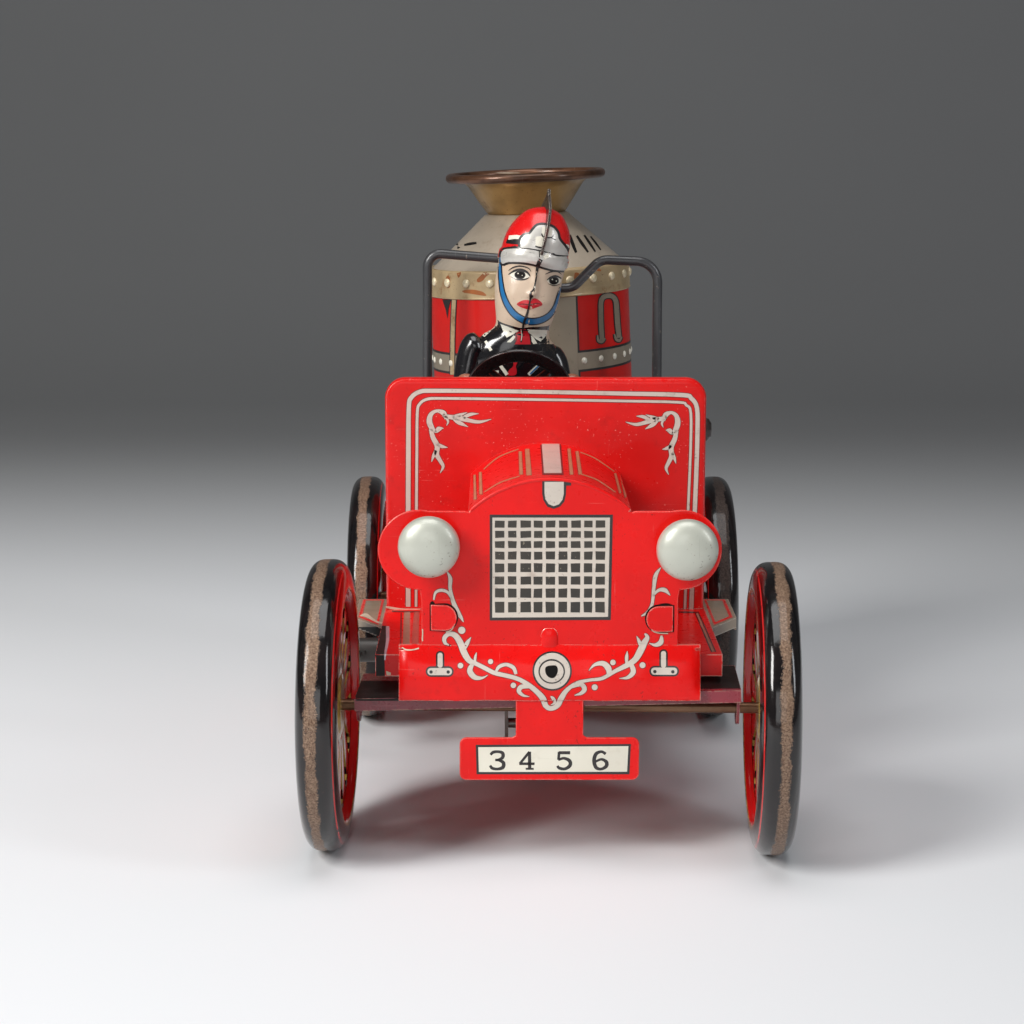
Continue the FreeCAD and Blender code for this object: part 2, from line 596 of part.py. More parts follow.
# the small pinions are cut in one piece with their arbors
node("intermediate_arbor", cyl("X", INT_R, -PLATE_OUT - 0.6, PLATE_OUT + 0.6, I_Y, I_Z)
     .fuse(gear(N_IPIN, ph_ipin, -2.6, -0.6, I_Y, I_Z, 0)))
node("governor_spindle", cyl("X", GOV_R, -PLATE_OUT - 0.5, PLATE_OUT + 0.5, G_Y, G_Z)
     .fuse(gear(N_GOV, ph_gov, 1.6, 3.2, G_Y, G_Z, 0)))
fly = cyl("X", 4.4, -6.0, -4.6, G_Y, G_Z).fuse(cyl("X", 1.8, -4.6, -2.6, G_Y, G_Z))
fly = fly.cut(cyl("X", GOV_R, -8, 0, G_Y, G_Z))
for a in range(3):
    t = math.radians(120 * a)
    fly = fly.cut(cyl("X", 0.8, -7, -4, G_Y + 3.0 * math.cos(t), G_Z + 3.0 * math.sin(t)))
node("governor_flywheel", fly.removeSplitter())

KEY_X0, KEY_X1 = -52.6, -45.4
node("winding_arbor", cyl("X", ARB_R, KEY_X1 - 3.0, PLATE_OUT + 0.8, A_Y, A_Z))

ratchet_pts = []
for k in range(14):
    a0 = math.radians(360.0 / 14 * k)
    a1 = math.radians(360.0 / 14 * (k + 1) - 3)
    ratchet_pts.append((A_Y + 6.0 * math.cos(a0), A_Z + 6.0 * math.sin(a0)))
    ratchet_pts.append((A_Y + 4.8 * math.cos(a1), A_Z + 4.8 * math.sin(a1)))
ratchet = prism_yz(ratchet_pts, -0.9, 0.3).cut(cyl("X", ARB_R, -3, 3, A_Y, A_Z))
node("ratchet_wheel", ratchet)
click = prism_yz([(A_Y - 1.5, A_Z + 6.35), (A_Y + 5.6, A_Z + 8.6), (A_Y + 6.4, A_Z + 7.4),
                  (A_Y + 6.0, A_Z + 6.4), (A_Y - 1.0, A_Z + 6.1)], -1.2, -0.2)
click = click.cut(cyl("X", 6.05, -2, 1, A_Y, A_Z))
node("ratchet_click", click)


def winding_key():
    s = cyl("X", 3.0, KEY_X1, KEY_X1 + 5.0, A_Y, A_Z)
    s = s.fuse(box(KEY_X1 - 1.0, KEY_X1 + 1.5, A_Y - 4.0, A_Y + 4.0, A_Z - 0.6, A_Z + 0.6))
    xm = (KEY_X0 + KEY_X1) / 2
    for d in (-1, 1):
        ring = Part.makeCylinder(4.2, 1.2, V(xm, A_Y + d * 4.6, A_Z - 0.6), V(0, 0, 1))
        s = s.fuse(ring)
    for d in (-1, 1):
        s = s.cut(Part.makeCylinder(2.2, 4, V(xm, A_Y + d * 4.9, A_Z - 2), V(0, 0, 1)))
    s = s.cut(cyl("X", ARB_R, KEY_X1 - 3.0, KEY_X1 + 8, A_Y, A_Z))
    return s.removeSplitter()


node("winding_key", winding_key())


def spiral():
    n_turn, per = 6.0, 18
    r0, pitch, t = 2.5, 1.5, 0.32
    n = int(n_turn * per)
    inner, outer = [], []
    for i in range(n + 1):
        th = 2 * math.pi * i / per
        r = r0 + pitch * i / per
        a = th - math.pi / 2
        inner.append((A_Y + r * math.cos(a), A_Z + r * math.sin(a)))
        outer.append((A_Y + (r + t) * math.cos(a), A_Z + (r + t) * math.sin(a)))
    return prism_yz(inner + outer[::-1], -8.2, -2.9)


node("mainspring", spiral())
SPR_OUT = 2.5 + 1.5 * 6.0 + 0.32

plate_pts = [(-15.5, TRAY_Z - T_TRAY), (-15.5, 36.0), (-13.5, 11.0), (-8.0, 6.5), (20.0, 6.5),
             (46.0, 9.5), (53.5, 13.0), (55.5, 36.0), (55.5, TRAY_Z - T_TRAY)]
for side_name, sd in (("left", -1), ("right", 1)):
    x0, x1 = sd * (MP_X - 0.4), sd * (MP_X + 0.4)
    s = prism_yz(plate_pts, x0, x1)
    s = s.cut(cyl("X", ARB_R + FIT, x0 - 3, x0 + 3, A_Y, A_Z))
    s = s.cut(cyl("X", INT_R + FIT, x0 - 3, x0 + 3, I_Y, I_Z))
    s = s.cut(cyl("X", GOV_R + FIT, x0 - 3, x0 + 3, G_Y, G_Z))
    s = s.cut(cyl("X", AXLE_R + FIT, x0 - 3, x0 + 3, YR, ZA))
    # a foot turned outwards under the deck
    s = s.fuse(box(sd * (MP_X + 0.4), sd * (MP_X + 5.4), -8.0, 4.0, TRAY_Z - T_TRAY - 0.8, TRAY_Z - T_TRAY))
    s = s.fuse(box(sd * (MP_X + 0.4), sd * (MP_X + 5.4), 36.0, 46.0, TRAY_Z - T_TRAY - 0.8, TRAY_Z - T_TRAY))
    node("motor_plate_" + side_name, s.removeSplitter())

pillar_yz = [(-12.6, 40.4), (-10.3, 13.0), (22.2, 10.2), (51.2, 17.2), (53.0, 40.4)]
node("motor_pillars", Part.makeCompound([cyl("X", 1.2, -(MP_X - 0.4), MP_X - 0.4, y, z)
                                         for y, z in pillar_yz] +
                                        [cyl("X", 1.0, -(MP_X - 0.4), -2.9, A_Y, A_Z - SPR_OUT - 1.0)]))


# ----------------------------------------------------------------- brake lever
BR_Y, BR_Z = 3.3, 50.0
bracket = prism_yz([(-4.0, TRAY_Z), (-4.0, 47.0), (-0.5, 54.5), (7.1, 54.5), (10.6, 47.0),
                    (10.6, TRAY_Z)], TRAY_HX - 0.9, TRAY_HX - 0.2)
bracket = bracket.fuse(box(TRAY_HX - 4.0, TRAY_HX - 0.9, -4.0, 10.6, TRAY_Z, TRAY_Z + 0.5))
bracket = bracket.fuse(cyl("X", 1.5, TRAY_HX - 0.9, TRAY_HX + 2.0, BR_Y, BR_Z))
bracket = bracket.fuse(cyl("X", 2.4, TRAY_HX + 2.0, TRAY_HX + 2.6, BR_Y, BR_Z))
node("brake_bracket", bracket.removeSplitter())
lever_pts = arc_pts(BR_Y, BR_Z, 3.2, 180, 360, 12) + [(BR_Y + 1.6, 62.0), (BR_Y + 1.2, 81.0),
                                                      (BR_Y - 1.2, 81.0), (BR_Y - 1.6, 62.0)]
lever = prism_yz(lever_pts, TRAY_HX + 0.8, TRAY_HX + 1.6)
lever = lever.cut(cyl("X", 1.5 + FIT, TRAY_HX, TRAY_HX + 3, BR_Y, BR_Z))
node("brake_lever", lever)
xk = TRAY_HX + 1.2
knob = rev_z([(0.0, 80.0), (1.1, 80.0), (1.9, 81.0), (2.0, 82.6), (1.9, 84.2), (1.2, 85.3), (0.0, 85.6)],
             xk, BR_Y)
node("brake_knob", knob.cut(lever))


# ---------------------------------------------------------------------- driver
def pose(s):
    """Lean and turn the upright figure into its seated pose."""
    s = turned(s, V(DRV_X, DRV_Y, 80), V(0, 0, 1), DRV_YAW)
    return turned(s, V(DRV_X - 0.9, DRV_Y, 80), V(0, 1, 0), DRV_LEAN)


def stack(sections):
    wires = []
    for z, a, b, dy in sections:
        if a >= b:
            e = Part.Ellipse(V(0, 0, 0), a, b)
            w = Part.Wire([e.toShape()])
        else:
            e = Part.Ellipse(V(0, 0, 0), b, a)
            w = Part.Wire([e.toShape()])
            w.rotate(V(0, 0, 0), V(0, 0, 1), 90)
        w.translate(V(DRV_X, DRV_Y + dy, z))
        wires.append(w)
    return Part.makeLoft(wires, True, True)


FIG = [(64.0, 8.8, 5.2, 2.2), (76.0, 9.0, 5.3, 2.0), (92.0, 9.6, 6.0, 0.8), (100.0, 10.2, 6.2, 0.2),
       (103.5, 8.2, 5.6, 0), (105.2, 5.4, 4.8, 0), (107.0, 5.6, 5.2, -0.6), (109.5, 7.3, 6.6, -0.8),
       (114.0, 8.2, 7.5, -0.6), (121.0, 8.4, 7.7, 0), (127.0, 8.5, 8.0, 0), (131.0, 7.4, 7.2, 0.2),
       (134.4, 5.0, 5.0, 0.3), (136.3, 2.0, 2.2, 0.3)]
outer = stack(FIG)
inner = stack([(z + (0.6 if i == 0 else (-0.5 if i > 9 else 0)), a - T, b - T, dy)
               for i, (z, a, b, dy) in enumerate(FIG)])
body = outer.cut(inner)
comb_pts = [(-8.2, 125.5), (-8.7, 126.5), (-8.0, 131.5), (-5.8, 135.8), (-2.5, 138.9), (0.2, 140.6),
            (2.6, 138.6), (6.4, 135.2), (8.7, 130.5), (9.0, 126.5), (8.3, 125.5), (6.6, 129.0),
            (3.4, 133.2), (0.4, 135.0), (-2.9, 133.6), (-6.2, 129.4)]
solid_fig = outer
halves = {}
for side_name, sd in (("left", -1), ("right", 1)):
    half_space = box(DRV_X, DRV_X + sd * 40, DRV_Y - 40, DRV_Y + 40, 50, 150)
    h = body.common(half_space)
    comb = prism_yz([(DRV_Y + y, z) for y, z in comb_pts], DRV_X, DRV_X + sd * 0.4)
    h = h.fuse(comb.cut(inner))
    halves[side_name] = h
    solid = sorted(h.Solids, key=lambda q: -q.Volume)[0]
    NODES["driver_half_" + side_name] = solid
# flat base at the seat: trim both halves on the seat plane after leaning
seat_cut = box(-60, 60, -40, 60, 30, SEAT_Z)
torso_solid = pose(outer)
for side_name in ("left", "right"):
    NODES["driver_half_" + side_name] = pose(NODES["driver_half_" + side_name]).cut(seat_cut)


def capsule(points, radii):
    s = Part.makeSphere(radii[0], points[0])
    for i in range(1, len(points)):
        d = points[i] - points[i - 1]
        s = s.fuse(Part.makeCone(radii[i - 1], radii[i], d.Length, points[i - 1], d)
                   if abs(radii[i] - radii[i - 1]) > 1e-6 else
                   Part.makeCylinder(radii[i], d.Length, points[i - 1], d))
        s = s.fuse(Part.makeSphere(radii[i], points[i]))
    return s


sh_z = 99.4
for side_name, sd in (("left", -1), ("right", 1)):
    sh = V(DRV_X + sd * 10.6, DRV_Y, sh_z)
    m = Part.Vertex(sh)
    m = pose(m)
    sh = m.Point
    rim = STEER_C + V(sd * (STEER_R - 0.4), 0, 0) + nrm * 4.2
    elbow = V((sh.x + rim.x) / 2 + sd * 1.2, (sh.y + rim.y) / 2 + 1.2, 86.5)
    arm = capsule([sh, elbow, rim], [2.8, 2.7, 2.3])
    arm = arm.cut(torso_solid)
    node("driver_arm_" + side_name, sorted(arm.Solids, key=lambda q: -q.Volume)[0])

leg_pts = [(10.4, SEAT_Z), (-6.3, SEAT_Z), (-8.6, 58.0), (-8.6, TRAY_Z), (-17.0, TRAY_Z), (-17.3, 45.5),
           (-15.2, 47.4), (-14.2, 49.0), (-14.6, 64.0), (-13.0, 67.6), (-10.5, 69.2), (10.4, 69.4)]
legs_s = box(DRV_X - 2.0, DRV_X + 3.2, -1.0, 4.0, SEAT_Z, SEAT_Z + 3.0)
for sd in (-1, 1):
    x = DRV_X + 0.6 + sd * 4.9
    legs_s = legs_s.fuse(prism_yz(leg_pts, x - 3.2, x + 3.2))
node("driver_legs", legs_s.removeSplitter())

# ----------------------------------------------------------------------- write
for name in sorted(NODES):
    shape = NODES[name]
    if not shape.isValid():
        shape.fix(1e-4, 1e-5, 1e-3)
    print("%-26s solids %d  valid %s  volume %.1f" % (name, len(shape.Solids), shape.isValid(), shape.Volume))
    shape.exportStep("parts/%s.step" % name)
print("nodes", len(NODES))
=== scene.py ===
import bpy
import bmesh
import math
import json
import random
from mathutils import Vector, Matrix
from mathutils.bvhtree import BVHTree


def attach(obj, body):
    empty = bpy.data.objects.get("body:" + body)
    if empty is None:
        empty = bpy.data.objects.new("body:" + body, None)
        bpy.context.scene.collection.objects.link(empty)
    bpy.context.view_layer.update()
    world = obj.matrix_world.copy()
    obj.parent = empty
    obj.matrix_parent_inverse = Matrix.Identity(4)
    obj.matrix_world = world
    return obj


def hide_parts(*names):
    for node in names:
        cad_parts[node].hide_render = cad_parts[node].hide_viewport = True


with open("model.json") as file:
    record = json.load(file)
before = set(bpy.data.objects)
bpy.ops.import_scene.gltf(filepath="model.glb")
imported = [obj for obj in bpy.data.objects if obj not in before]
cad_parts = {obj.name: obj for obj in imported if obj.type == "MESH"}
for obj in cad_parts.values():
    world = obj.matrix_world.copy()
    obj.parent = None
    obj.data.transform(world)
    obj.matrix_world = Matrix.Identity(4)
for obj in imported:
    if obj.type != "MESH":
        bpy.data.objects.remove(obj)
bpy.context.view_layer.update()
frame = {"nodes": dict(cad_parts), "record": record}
rnd = random.Random(7)
sin, cos, pi, rad = math.sin, math.cos, math.pi, math.radians

# ------------------------------------------------------------------ view
TH, PS, RO, FPX = 0.1714, 0.0049, 0.0010, 2427.0
CAM = Vector((-10.51, -579.25, 163.17))
FW = Vector((sin(PS) * cos(TH), cos(PS) * cos(TH), -sin(TH)))
R0 = Vector((cos(PS), -sin(PS), 0.0))
U0 = R0.cross(FW)
R2 = R0 * cos(RO) + U0 * sin(RO)
U2 = U0 * cos(RO) - R0 * sin(RO)


def ray(px, py):
    return (FW + R2 * ((px - 512.0) / FPX) + U2 * ((512.0 - py) / FPX)).normalized()


def on_y(px, py, y):
    d = ray(px, py)
    return CAM + d * ((y - CAM.y) / d.y)


def to_px(p):
    d = Vector(p) - CAM
    z = d.dot(FW)
    return 512.0 + FPX * d.dot(R2) / z, 512.0 - FPX * d.dot(U2) / z


# the three drawing sheets that the printed art is laid out on
def A(x, y):
    return 380.0 + x / 4.723, 370.0 + y / 4.723


def B(x, y):
    return 425.0 + x / 6.672, 160.0 + y / 6.672


def C(x, y):
    return 380.0 + x / 4.723, 600.0 + y / 4.723


# ------------------------------------------------------------------ materials
def lin(r, g, b):
    def f(v):
        v /= 255.0
        return v / 12.92 if v <= 0.04045 else ((v + 0.055) / 1.055) ** 2.4
    return (f(r), f(g), f(b), 1.0)


class Net:
    def __init__(self, name):
        self.m = bpy.data.materials.new(name)
        self.m.use_nodes = True
        self.t = self.m.node_tree
        self.t.nodes.clear()
        self.out = self.t.nodes.new("ShaderNodeOutputMaterial")
        self.b = self.t.nodes.new("ShaderNodeBsdfPrincipled")
        self.t.links.new(self.b.outputs[0], self.out.inputs[0])
        tc = self.t.nodes.new("ShaderNodeTexCoord")
        self.co = tc.outputs["Object"]
        mp = self.t.nodes.new("ShaderNodeMapping")
        mp.inputs["Scale"].default_value = (1000, 1000, 1000)
        self.t.links.new(self.co, mp.inputs[0])
        self.mm = mp.outputs[0]

    def link(self, a, b):
        self.t.links.new(a, b)

    def put(self, sock, v):
        if isinstance(v, (int, float)):
            sock.default_value = v
        elif isinstance(v, tuple):
            sock.default_value = v
        else:
            self.link(v, sock)

    def math(self, op, a, b=None, c=None, clamp=False):
        n = self.t.nodes.new("ShaderNodeMath")
        n.operation = op
        n.use_clamp = clamp
        self.put(n.inputs[0], a)
        if b is not None:
            self.put(n.inputs[1], b)
        if c is not None:
            self.put(n.inputs[2], c)
        return n.outputs[0]

    def noise(self, scale, detail=3.0, rough=0.55, vec=None, stretch=None, rot=None, off=(0, 0, 0), dist=0.0):
        v = vec or self.mm
        if stretch or rot or off != (0, 0, 0):
            mp = self.t.nodes.new("ShaderNodeMapping")
            mp.inputs["Scale"].default_value = stretch or (1, 1, 1)
            mp.inputs["Rotation"].default_value = rot or (0, 0, 0)
            mp.inputs["Location"].default_value = off
            self.link(v, mp.inputs[0])
            v = mp.outputs[0]
        n = self.t.nodes.new("ShaderNodeTexNoise")
        n.inputs["Scale"].default_value = scale
        n.inputs["Detail"].default_value = detail
        n.inputs["Roughness"].default_value = rough
        n.inputs["Distortion"].default_value = dist
        self.link(v, n.inputs["Vector"])
        return n.outputs[0]

    def step(self, v, lo, hi):
        n = self.t.nodes.new("ShaderNodeMapRange")
        n.interpolation_type = "SMOOTHSTEP"
        n.inputs[1].default_value = lo
        n.inputs[2].default_value = hi
        self.link(v, n.inputs[0])
        return n.outputs[0]

    def mix(self, f, a, b):
        n = self.t.nodes.new("ShaderNodeMix")
        n.data_type = "RGBA"
        self.put(n.inputs[0], f)
        self.put(n.inputs[6], a)
        self.put(n.inputs[7], b)
        return n.outputs[2]

    def done(self, col, rough, metal=0.0, height=None, strength=0.3, coat=0.0, spec=0.5):
        self.put(self.b.inputs["Base Color"], col)
        self.put(self.b.inputs["Roughness"], rough)
        self.put(self.b.inputs["Metallic"], metal)
        self.b.inputs["Coat Weight"].default_value = coat
        self.b.inputs["Coat Roughness"].default_value = 0.08
        self.b.inputs["Specular IOR Level"].default_value = spec
        if height is not None:
            n = self.t.nodes.new("ShaderNodeBump")
            n.inputs["Strength"].default_value = strength
            n.inputs["Distance"].default_value = 0.0002
            self.link(height, n.inputs["Height"])
            self.link(n.outputs[0], self.b.inputs["Normal"])
        return self.m


def shade(c, k):
    return (min(1, c[0] * k), min(1, c[1] * k), min(1, c[2] * k), 1.0)


def tin(name, col, rough=0.28, metal=0.0, coat=0.35, var=0.10, scr=0.35, scr_col=None, grime=0.25,
        grime_col=(0.05, 0.025, 0.015, 1.0), chips=0.0, chip_col=None, edge=0.0, edge_col=None,
        bump=0.25, seed=0.0, big=0.05, spec=0.5, spots=0.0, spot_col=None):
    n = Net(name)
    o = (seed * 13.7, seed * 7.1, seed * 3.3)
    f = n.noise(big, 4, 0.6, off=o)
    c = n.mix(n.step(f, 0.35, 0.65), shade(col, 1 - var), shade(col, 1 + var))
    dirt = n.math("MULTIPLY", n.step(n.noise(0.22, 5, 0.65, off=(o[0] + 5, o[1], o[2])), 0.55, 0.78), grime)
    c = n.mix(dirt, c, grime_col)
    s1 = n.noise(1.0, 2, 0.5, stretch=(0.05, 0.05, 2.6), rot=(0.5, 0.3, 0.2), off=o)
    s2 = n.noise(1.0, 2, 0.5, stretch=(2.4, 0.06, 0.07), rot=(0.2, 0.9, 0.5), off=(o[0] + 9, o[1], o[2]))
    gate = n.step(n.noise(0.12, 3, 0.6, off=(o[0] + 40, o[1], o[2])), 0.45, 0.65)
    sc = n.math("MAXIMUM", n.step(s1, 0.70, 0.74), n.step(s2, 0.71, 0.75))
    sc = n.math("MULTIPLY", n.math("MULTIPLY", sc, gate), scr)
    c = n.mix(sc, c, scr_col or shade(col, 1.7))
    h = n.math("SUBTRACT", n.math("MULTIPLY", n.noise(0.6, 3, 0.5, off=o), 0.5), n.math("MULTIPLY", sc, 0.6))
    metal_v = metal
    if spots > 0:
        sp = n.noise(1.6, 2, 0.5, off=(o[0] + 70, o[1], o[2]))
        spg = n.noise(0.10, 2, 0.5, off=(o[0] + 90, o[1], o[2]))
        sf = n.math("MULTIPLY", n.math("MULTIPLY", n.step(sp, 0.66, 0.70), n.step(spg, 0.42, 0.62)), spots)
        c = n.mix(sf, c, spot_col or (0.05, 0.03, 0.02, 1))
        h = n.math("SUBTRACT", h, sf)
    if chips > 0 or edge > 0:
        cc = chip_col or (0.30, 0.24, 0.19, 1.0)
        fl = n.noise(0.9, 4, 0.65, off=(o[0] + 20, o[1], o[2]))
        mask = None
        if chips > 0:
            mask = n.math("MULTIPLY", n.step(n.math("ADD", fl, n.math("MULTIPLY", n.noise(0.07, 2, 0.5, off=(o[0] + 60, o[1], o[2])), 0.35)), 0.86 - 0.18 * chips, 0.885 - 0.18 * chips), 1.0)
        if edge > 0:
            bv = n.t.nodes.new("ShaderNodeBevel")
            bv.samples = 4
            bv.inputs[0].default_value = 0.00045
            ge = n.t.nodes.new("ShaderNodeNewGeometry")
            dt = n.t.nodes.new("ShaderNodeVectorMath")
            dt.operation = "DOT_PRODUCT"
            n.link(bv.outputs[0], dt.inputs[0])
            n.link(ge.outputs["Normal"], dt.inputs[1])
            em = n.step(dt.outputs["Value"], 0.97, 0.80)
            em = n.math("MULTIPLY", em, n.step(n.noise(0.5, 4, 0.7, off=(o[0] + 31, o[1], o[2])), 0.62 - 0.3 * edge, 0.68 - 0.3 * edge))
            mask = em if mask is None else n.math("MAXIMUM", mask, em)
        c = n.mix(mask, c, edge_col or cc)
        h = n.math("SUBTRACT", h, mask)
        metal_v = n.math("MAXIMUM", n.math("MULTIPLY", mask, 0.55), metal)
    r = n.math("ADD", n.math("MULTIPLY", n.noise(0.35, 3, 0.5, off=(o[0] + 3, o[1], o[2])), 0.22), rough - 0.08)
    r = n.math("ADD", r, n.math("MULTIPLY", n.math("ADD", dirt, sc), 0.35))
    return n.done(c, r, metal_v, h, bump, coat, spec)


RED = lin(224, 14, 12)
SILVER = lin(206, 195, 183)
BLACK = lin(24, 20, 20)
m_red = tin("red_enamel", RED, 0.27, coat=0.10, spec=0.24, var=0.07, scr=0.35, scr_col=lin(245, 150, 140), grime=0.22,
            grime_col=lin(120, 16, 12), edge=0.75, edge_col=lin(215, 195, 180), spots=0.5, spot_col=lin(90, 30, 25))
m_red_dash = tin("red_enamel_dash", lin(212, 18, 15), 0.28, coat=0.12, spec=0.28, var=0.08, scr=0.35, scr_col=lin(240, 140, 130),
                 grime=0.30, grime_col=lin(130, 22, 18), edge=0.8, edge_col=lin(220, 200, 185), seed=3,
                 spots=0.5, spot_col=lin(235, 170, 160))
m_silver = tin("silver_ink", SILVER, 0.38, metal=0.15, coat=0.3, var=0.06, scr=0.3, scr_col=lin(120, 90, 80),
               grime=0.35, grime_col=lin(130, 95, 75), seed=1, spots=0.5, spot_col=lin(110, 70, 60))
m_tan = tin("tan_ink", lin(176, 128, 92), 0.4, coat=0.3, var=0.1, grime=0.5, grime_col=lin(190, 50, 35), seed=2)
# Black ink for printed lines; also used as painted shade in the deck fold and in the gap under the dashboard edge.
m_ink_black_and_shade = tin("black_ink_and_painted_shade", lin(30, 24, 24), 0.32, coat=0.4, var=0.15, scr=0.4, scr_col=lin(110, 95, 80), grime=0.2,
                  grime_col=lin(70, 50, 40), seed=4)
m_line = tin("dark_red_line", lin(110, 12, 14), 0.35, coat=0.3, var=0.1, seed=5)
m_grille = tin("grille_black", lin(46, 40, 32), 0.35, coat=0.35, var=0.25, scr=0.4, scr_col=lin(120, 110, 90),
               grime=0.3, grime_col=lin(60, 52, 40), seed=6, spots=0.6, spot_col=lin(150, 140, 120))
# White ink for the printed art; also used for painted highlights: a bar on the driver's sleeve and the glint beside the
# face seam.
m_white_and_highlight = tin("white_ink_and_painted_highlight", lin(226, 222, 206), 0.34, coat=0.35, var=0.04, scr=0.3, scr_col=lin(170, 160, 140),
              grime=0.25, grime_col=lin(170, 160, 130), seed=7)
m_face = tin("face_cream", lin(205, 183, 160), 0.36, coat=0.15, var=0.04, scr=0.25, scr_col=lin(160, 130, 100),
             grime=0.22, grime_col=lin(190, 150, 115), seed=8, spots=0.35, spot_col=lin(120, 90, 70))
m_coat = tin("coat_black", lin(18, 17, 20), 0.16, coat=0.7, var=0.2, scr=0.35, scr_col=lin(130, 120, 110), grime=0.2,
             grime_col=lin(60, 40, 30), seed=9, edge=0.5, edge_col=lin(150, 120, 95))
m_helmet = tin("helmet_red", lin(216, 20, 20), 0.24, coat=0.5, var=0.06, scr=0.3, scr_col=lin(240, 150, 140), seed=10,
               grime=0.15, grime_col=lin(120, 20, 15))
m_helmet_silver = tin("helmet_silver", lin(206, 203, 196), 0.28, metal=0.3, coat=0.5, var=0.05, scr=0.25,
                      scr_col=lin(110, 100, 90), grime=0.35, grime_col=lin(110, 95, 85), seed=11)
m_blue = tin("strap_blue", lin(28, 104, 158), 0.3, coat=0.4, var=0.12, seed=12)
m_lips = tin("lip_red", lin(196, 26, 38), 0.3, coat=0.4, var=0.1, seed=13)
m_iris = tin("iris_brown", lin(20, 13, 11), 0.4, coat=0.0, spec=0.2, var=0.3, seed=14)
m_lamp = tin("lamp_white", lin(192, 194, 182), 0.34, metal=0.25, coat=0.3, var=0.05, scr=0.3, scr_col=lin(120, 112, 95),
             grime=0.22, grime_col=lin(150, 140, 118), seed=15, chips=0.25, chip_col=lin(70, 55, 40), edge=0.6,
             edge_col=lin(110, 80, 55), spots=0.6, spot_col=lin(70, 55, 45))
m_lamp_tin = tin("lamp_gold", lin(168, 140, 96), 0.35, metal=0.6, coat=0.2, var=0.15, grime=0.6,
                 grime_col=lin(90, 45, 25), seed=16)
m_boil_red = tin("boiler_red", lin(196, 24, 18), 0.30, coat=0.1, spec=0.25, var=0.08, scr=0.3, scr_col=lin(220, 110, 90), grime=0.3,
                 grime_col=lin(90, 14, 10), seed=17)
m_boil_grey = tin("boiler_grey", lin(150, 138, 120), 0.36, metal=0.3, coat=0.25, var=0.08, scr=0.3, scr_col=lin(110, 95, 75),
                  grime=0.3, grime_col=lin(95, 80, 62), seed=18, spots=0.3, spot_col=lin(60, 45, 35))
m_cone = tin("cone_grey", lin(178, 165, 148), 0.36, metal=0.3, coat=0.25, var=0.10, scr=0.25, scr_col=lin(110, 95, 80),
             grime=0.4, grime_col=lin(112, 92, 68), seed=19, spots=0.3, spot_col=lin(70, 50, 35))
m_collar = tin("collar_cream", lin(172, 150, 114), 0.42, metal=0.25, coat=0.2, var=0.14, scr=0.25, scr_col=lin(220, 205, 170),
               grime=0.9, grime_col=lin(126, 78, 34), seed=20, big=0.12, spots=0.7, spot_col=lin(90, 50, 25))
m_rivet = tin("rivet_cream", lin(214, 200, 168), 0.36, metal=0.3, coat=0.2, var=0.12, grime=0.6, grime_col=lin(130, 80, 35),
              seed=21)
m_funnel = tin("funnel_brass", lin(150, 118, 72), 0.34, metal=0.75, coat=0.15, var=0.2, scr=0.3, scr_col=lin(90, 66, 40),
               grime=0.6, grime_col=lin(84, 56, 32), seed=22, big=0.08, spots=0.4, spot_col=lin(60, 40, 25))
m_funnel_rim = tin("funnel_rim", lin(92, 62, 44), 0.32, metal=0.6, coat=0.2, var=0.45, scr=0.6, scr_col=lin(205, 190, 170),
                   grime=0.7, grime_col=lin(70, 38, 26), seed=23, big=0.10)
m_wire = tin("wire_grey", lin(66, 66, 68), 0.30, metal=0.25, coat=0.35, var=0.12, scr=0.3, scr_col=lin(130, 128, 124),
             grime=0.25, grime_col=lin(40, 34, 30), seed=24, chips=0.15, chip_col=lin(120, 112, 104))
m_step = tin("step_litho", lin(150, 132, 112), 0.36, coat=0.3, var=0.12, grime=0.4, grime_col=lin(90, 66, 50), seed=25,
             edge=0.9, edge_col=lin(215, 205, 190))
m_maroon = tin("maroon_enamel", lin(126, 24, 42), 0.24, coat=0.5, var=0.2, grime=0.35, grime_col=lin(40, 14, 16), seed=26,
               scr_col=lin(190, 120, 120), edge=0.5, edge_col=lin(180, 150, 130))
m_steel = tin("steel_plain", lin(150, 146, 140), 0.34, metal=0.9, coat=0.0, var=0.1, grime=0.4, grime_col=lin(80, 60, 45),
              seed=27, scr=0.5, scr_col=lin(200, 196, 190))
m_spring = tin("spring_blued", lin(60, 66, 92), 0.28, metal=0.9, coat=0.0, var=0.25, grime=0.3, seed=28)
m_brass = tin("brass_gear", lin(196, 160, 84), 0.32, metal=0.9, coat=0.0, var=0.12, grime=0.5, grime_col=lin(96, 70, 34),
              seed=29, scr=0.4, scr_col=lin(226, 200, 130))
m_axle = tin("axle_brown", lin(120, 92, 70), 0.32, metal=0.75, coat=0.0, var=0.2, grime=0.6, grime_col=lin(70, 40, 28),
             seed=30)
m_seat = tin("seat_brown", lin(86, 40, 30), 0.34, coat=0.35, var=0.2, grime=0.4, seed=31, edge=0.6)
m_wheel_black = tin("steer_black", lin(22, 20, 21), 0.24, coat=0.45, var=0.2, scr=0.4, scr_col=lin(120, 70, 50), seed=32,
                    edge=1.0, edge_col=lin(176, 74, 48), grime=0.2)
m_knob = tin("knob_brown", lin(44, 32, 28), 0.3, coat=0.5, var=0.2, seed=33, scr_col=lin(110, 90, 80))
# Near-black painted shade standing in for the inside of openings: flap gaps, flap slots, the crank hole and the cone
# slits.
m_hole_shade = tin("hole_painted_shade", lin(16, 13, 12), 0.7, coat=0.0, var=0.3, seed=34, spec=0.2)
m_hand = tin("hand_brown", lin(150, 92, 70), 0.34, coat=0.3, var=0.2, grime=0.5, grime_col=lin(110, 40, 28), seed=35)


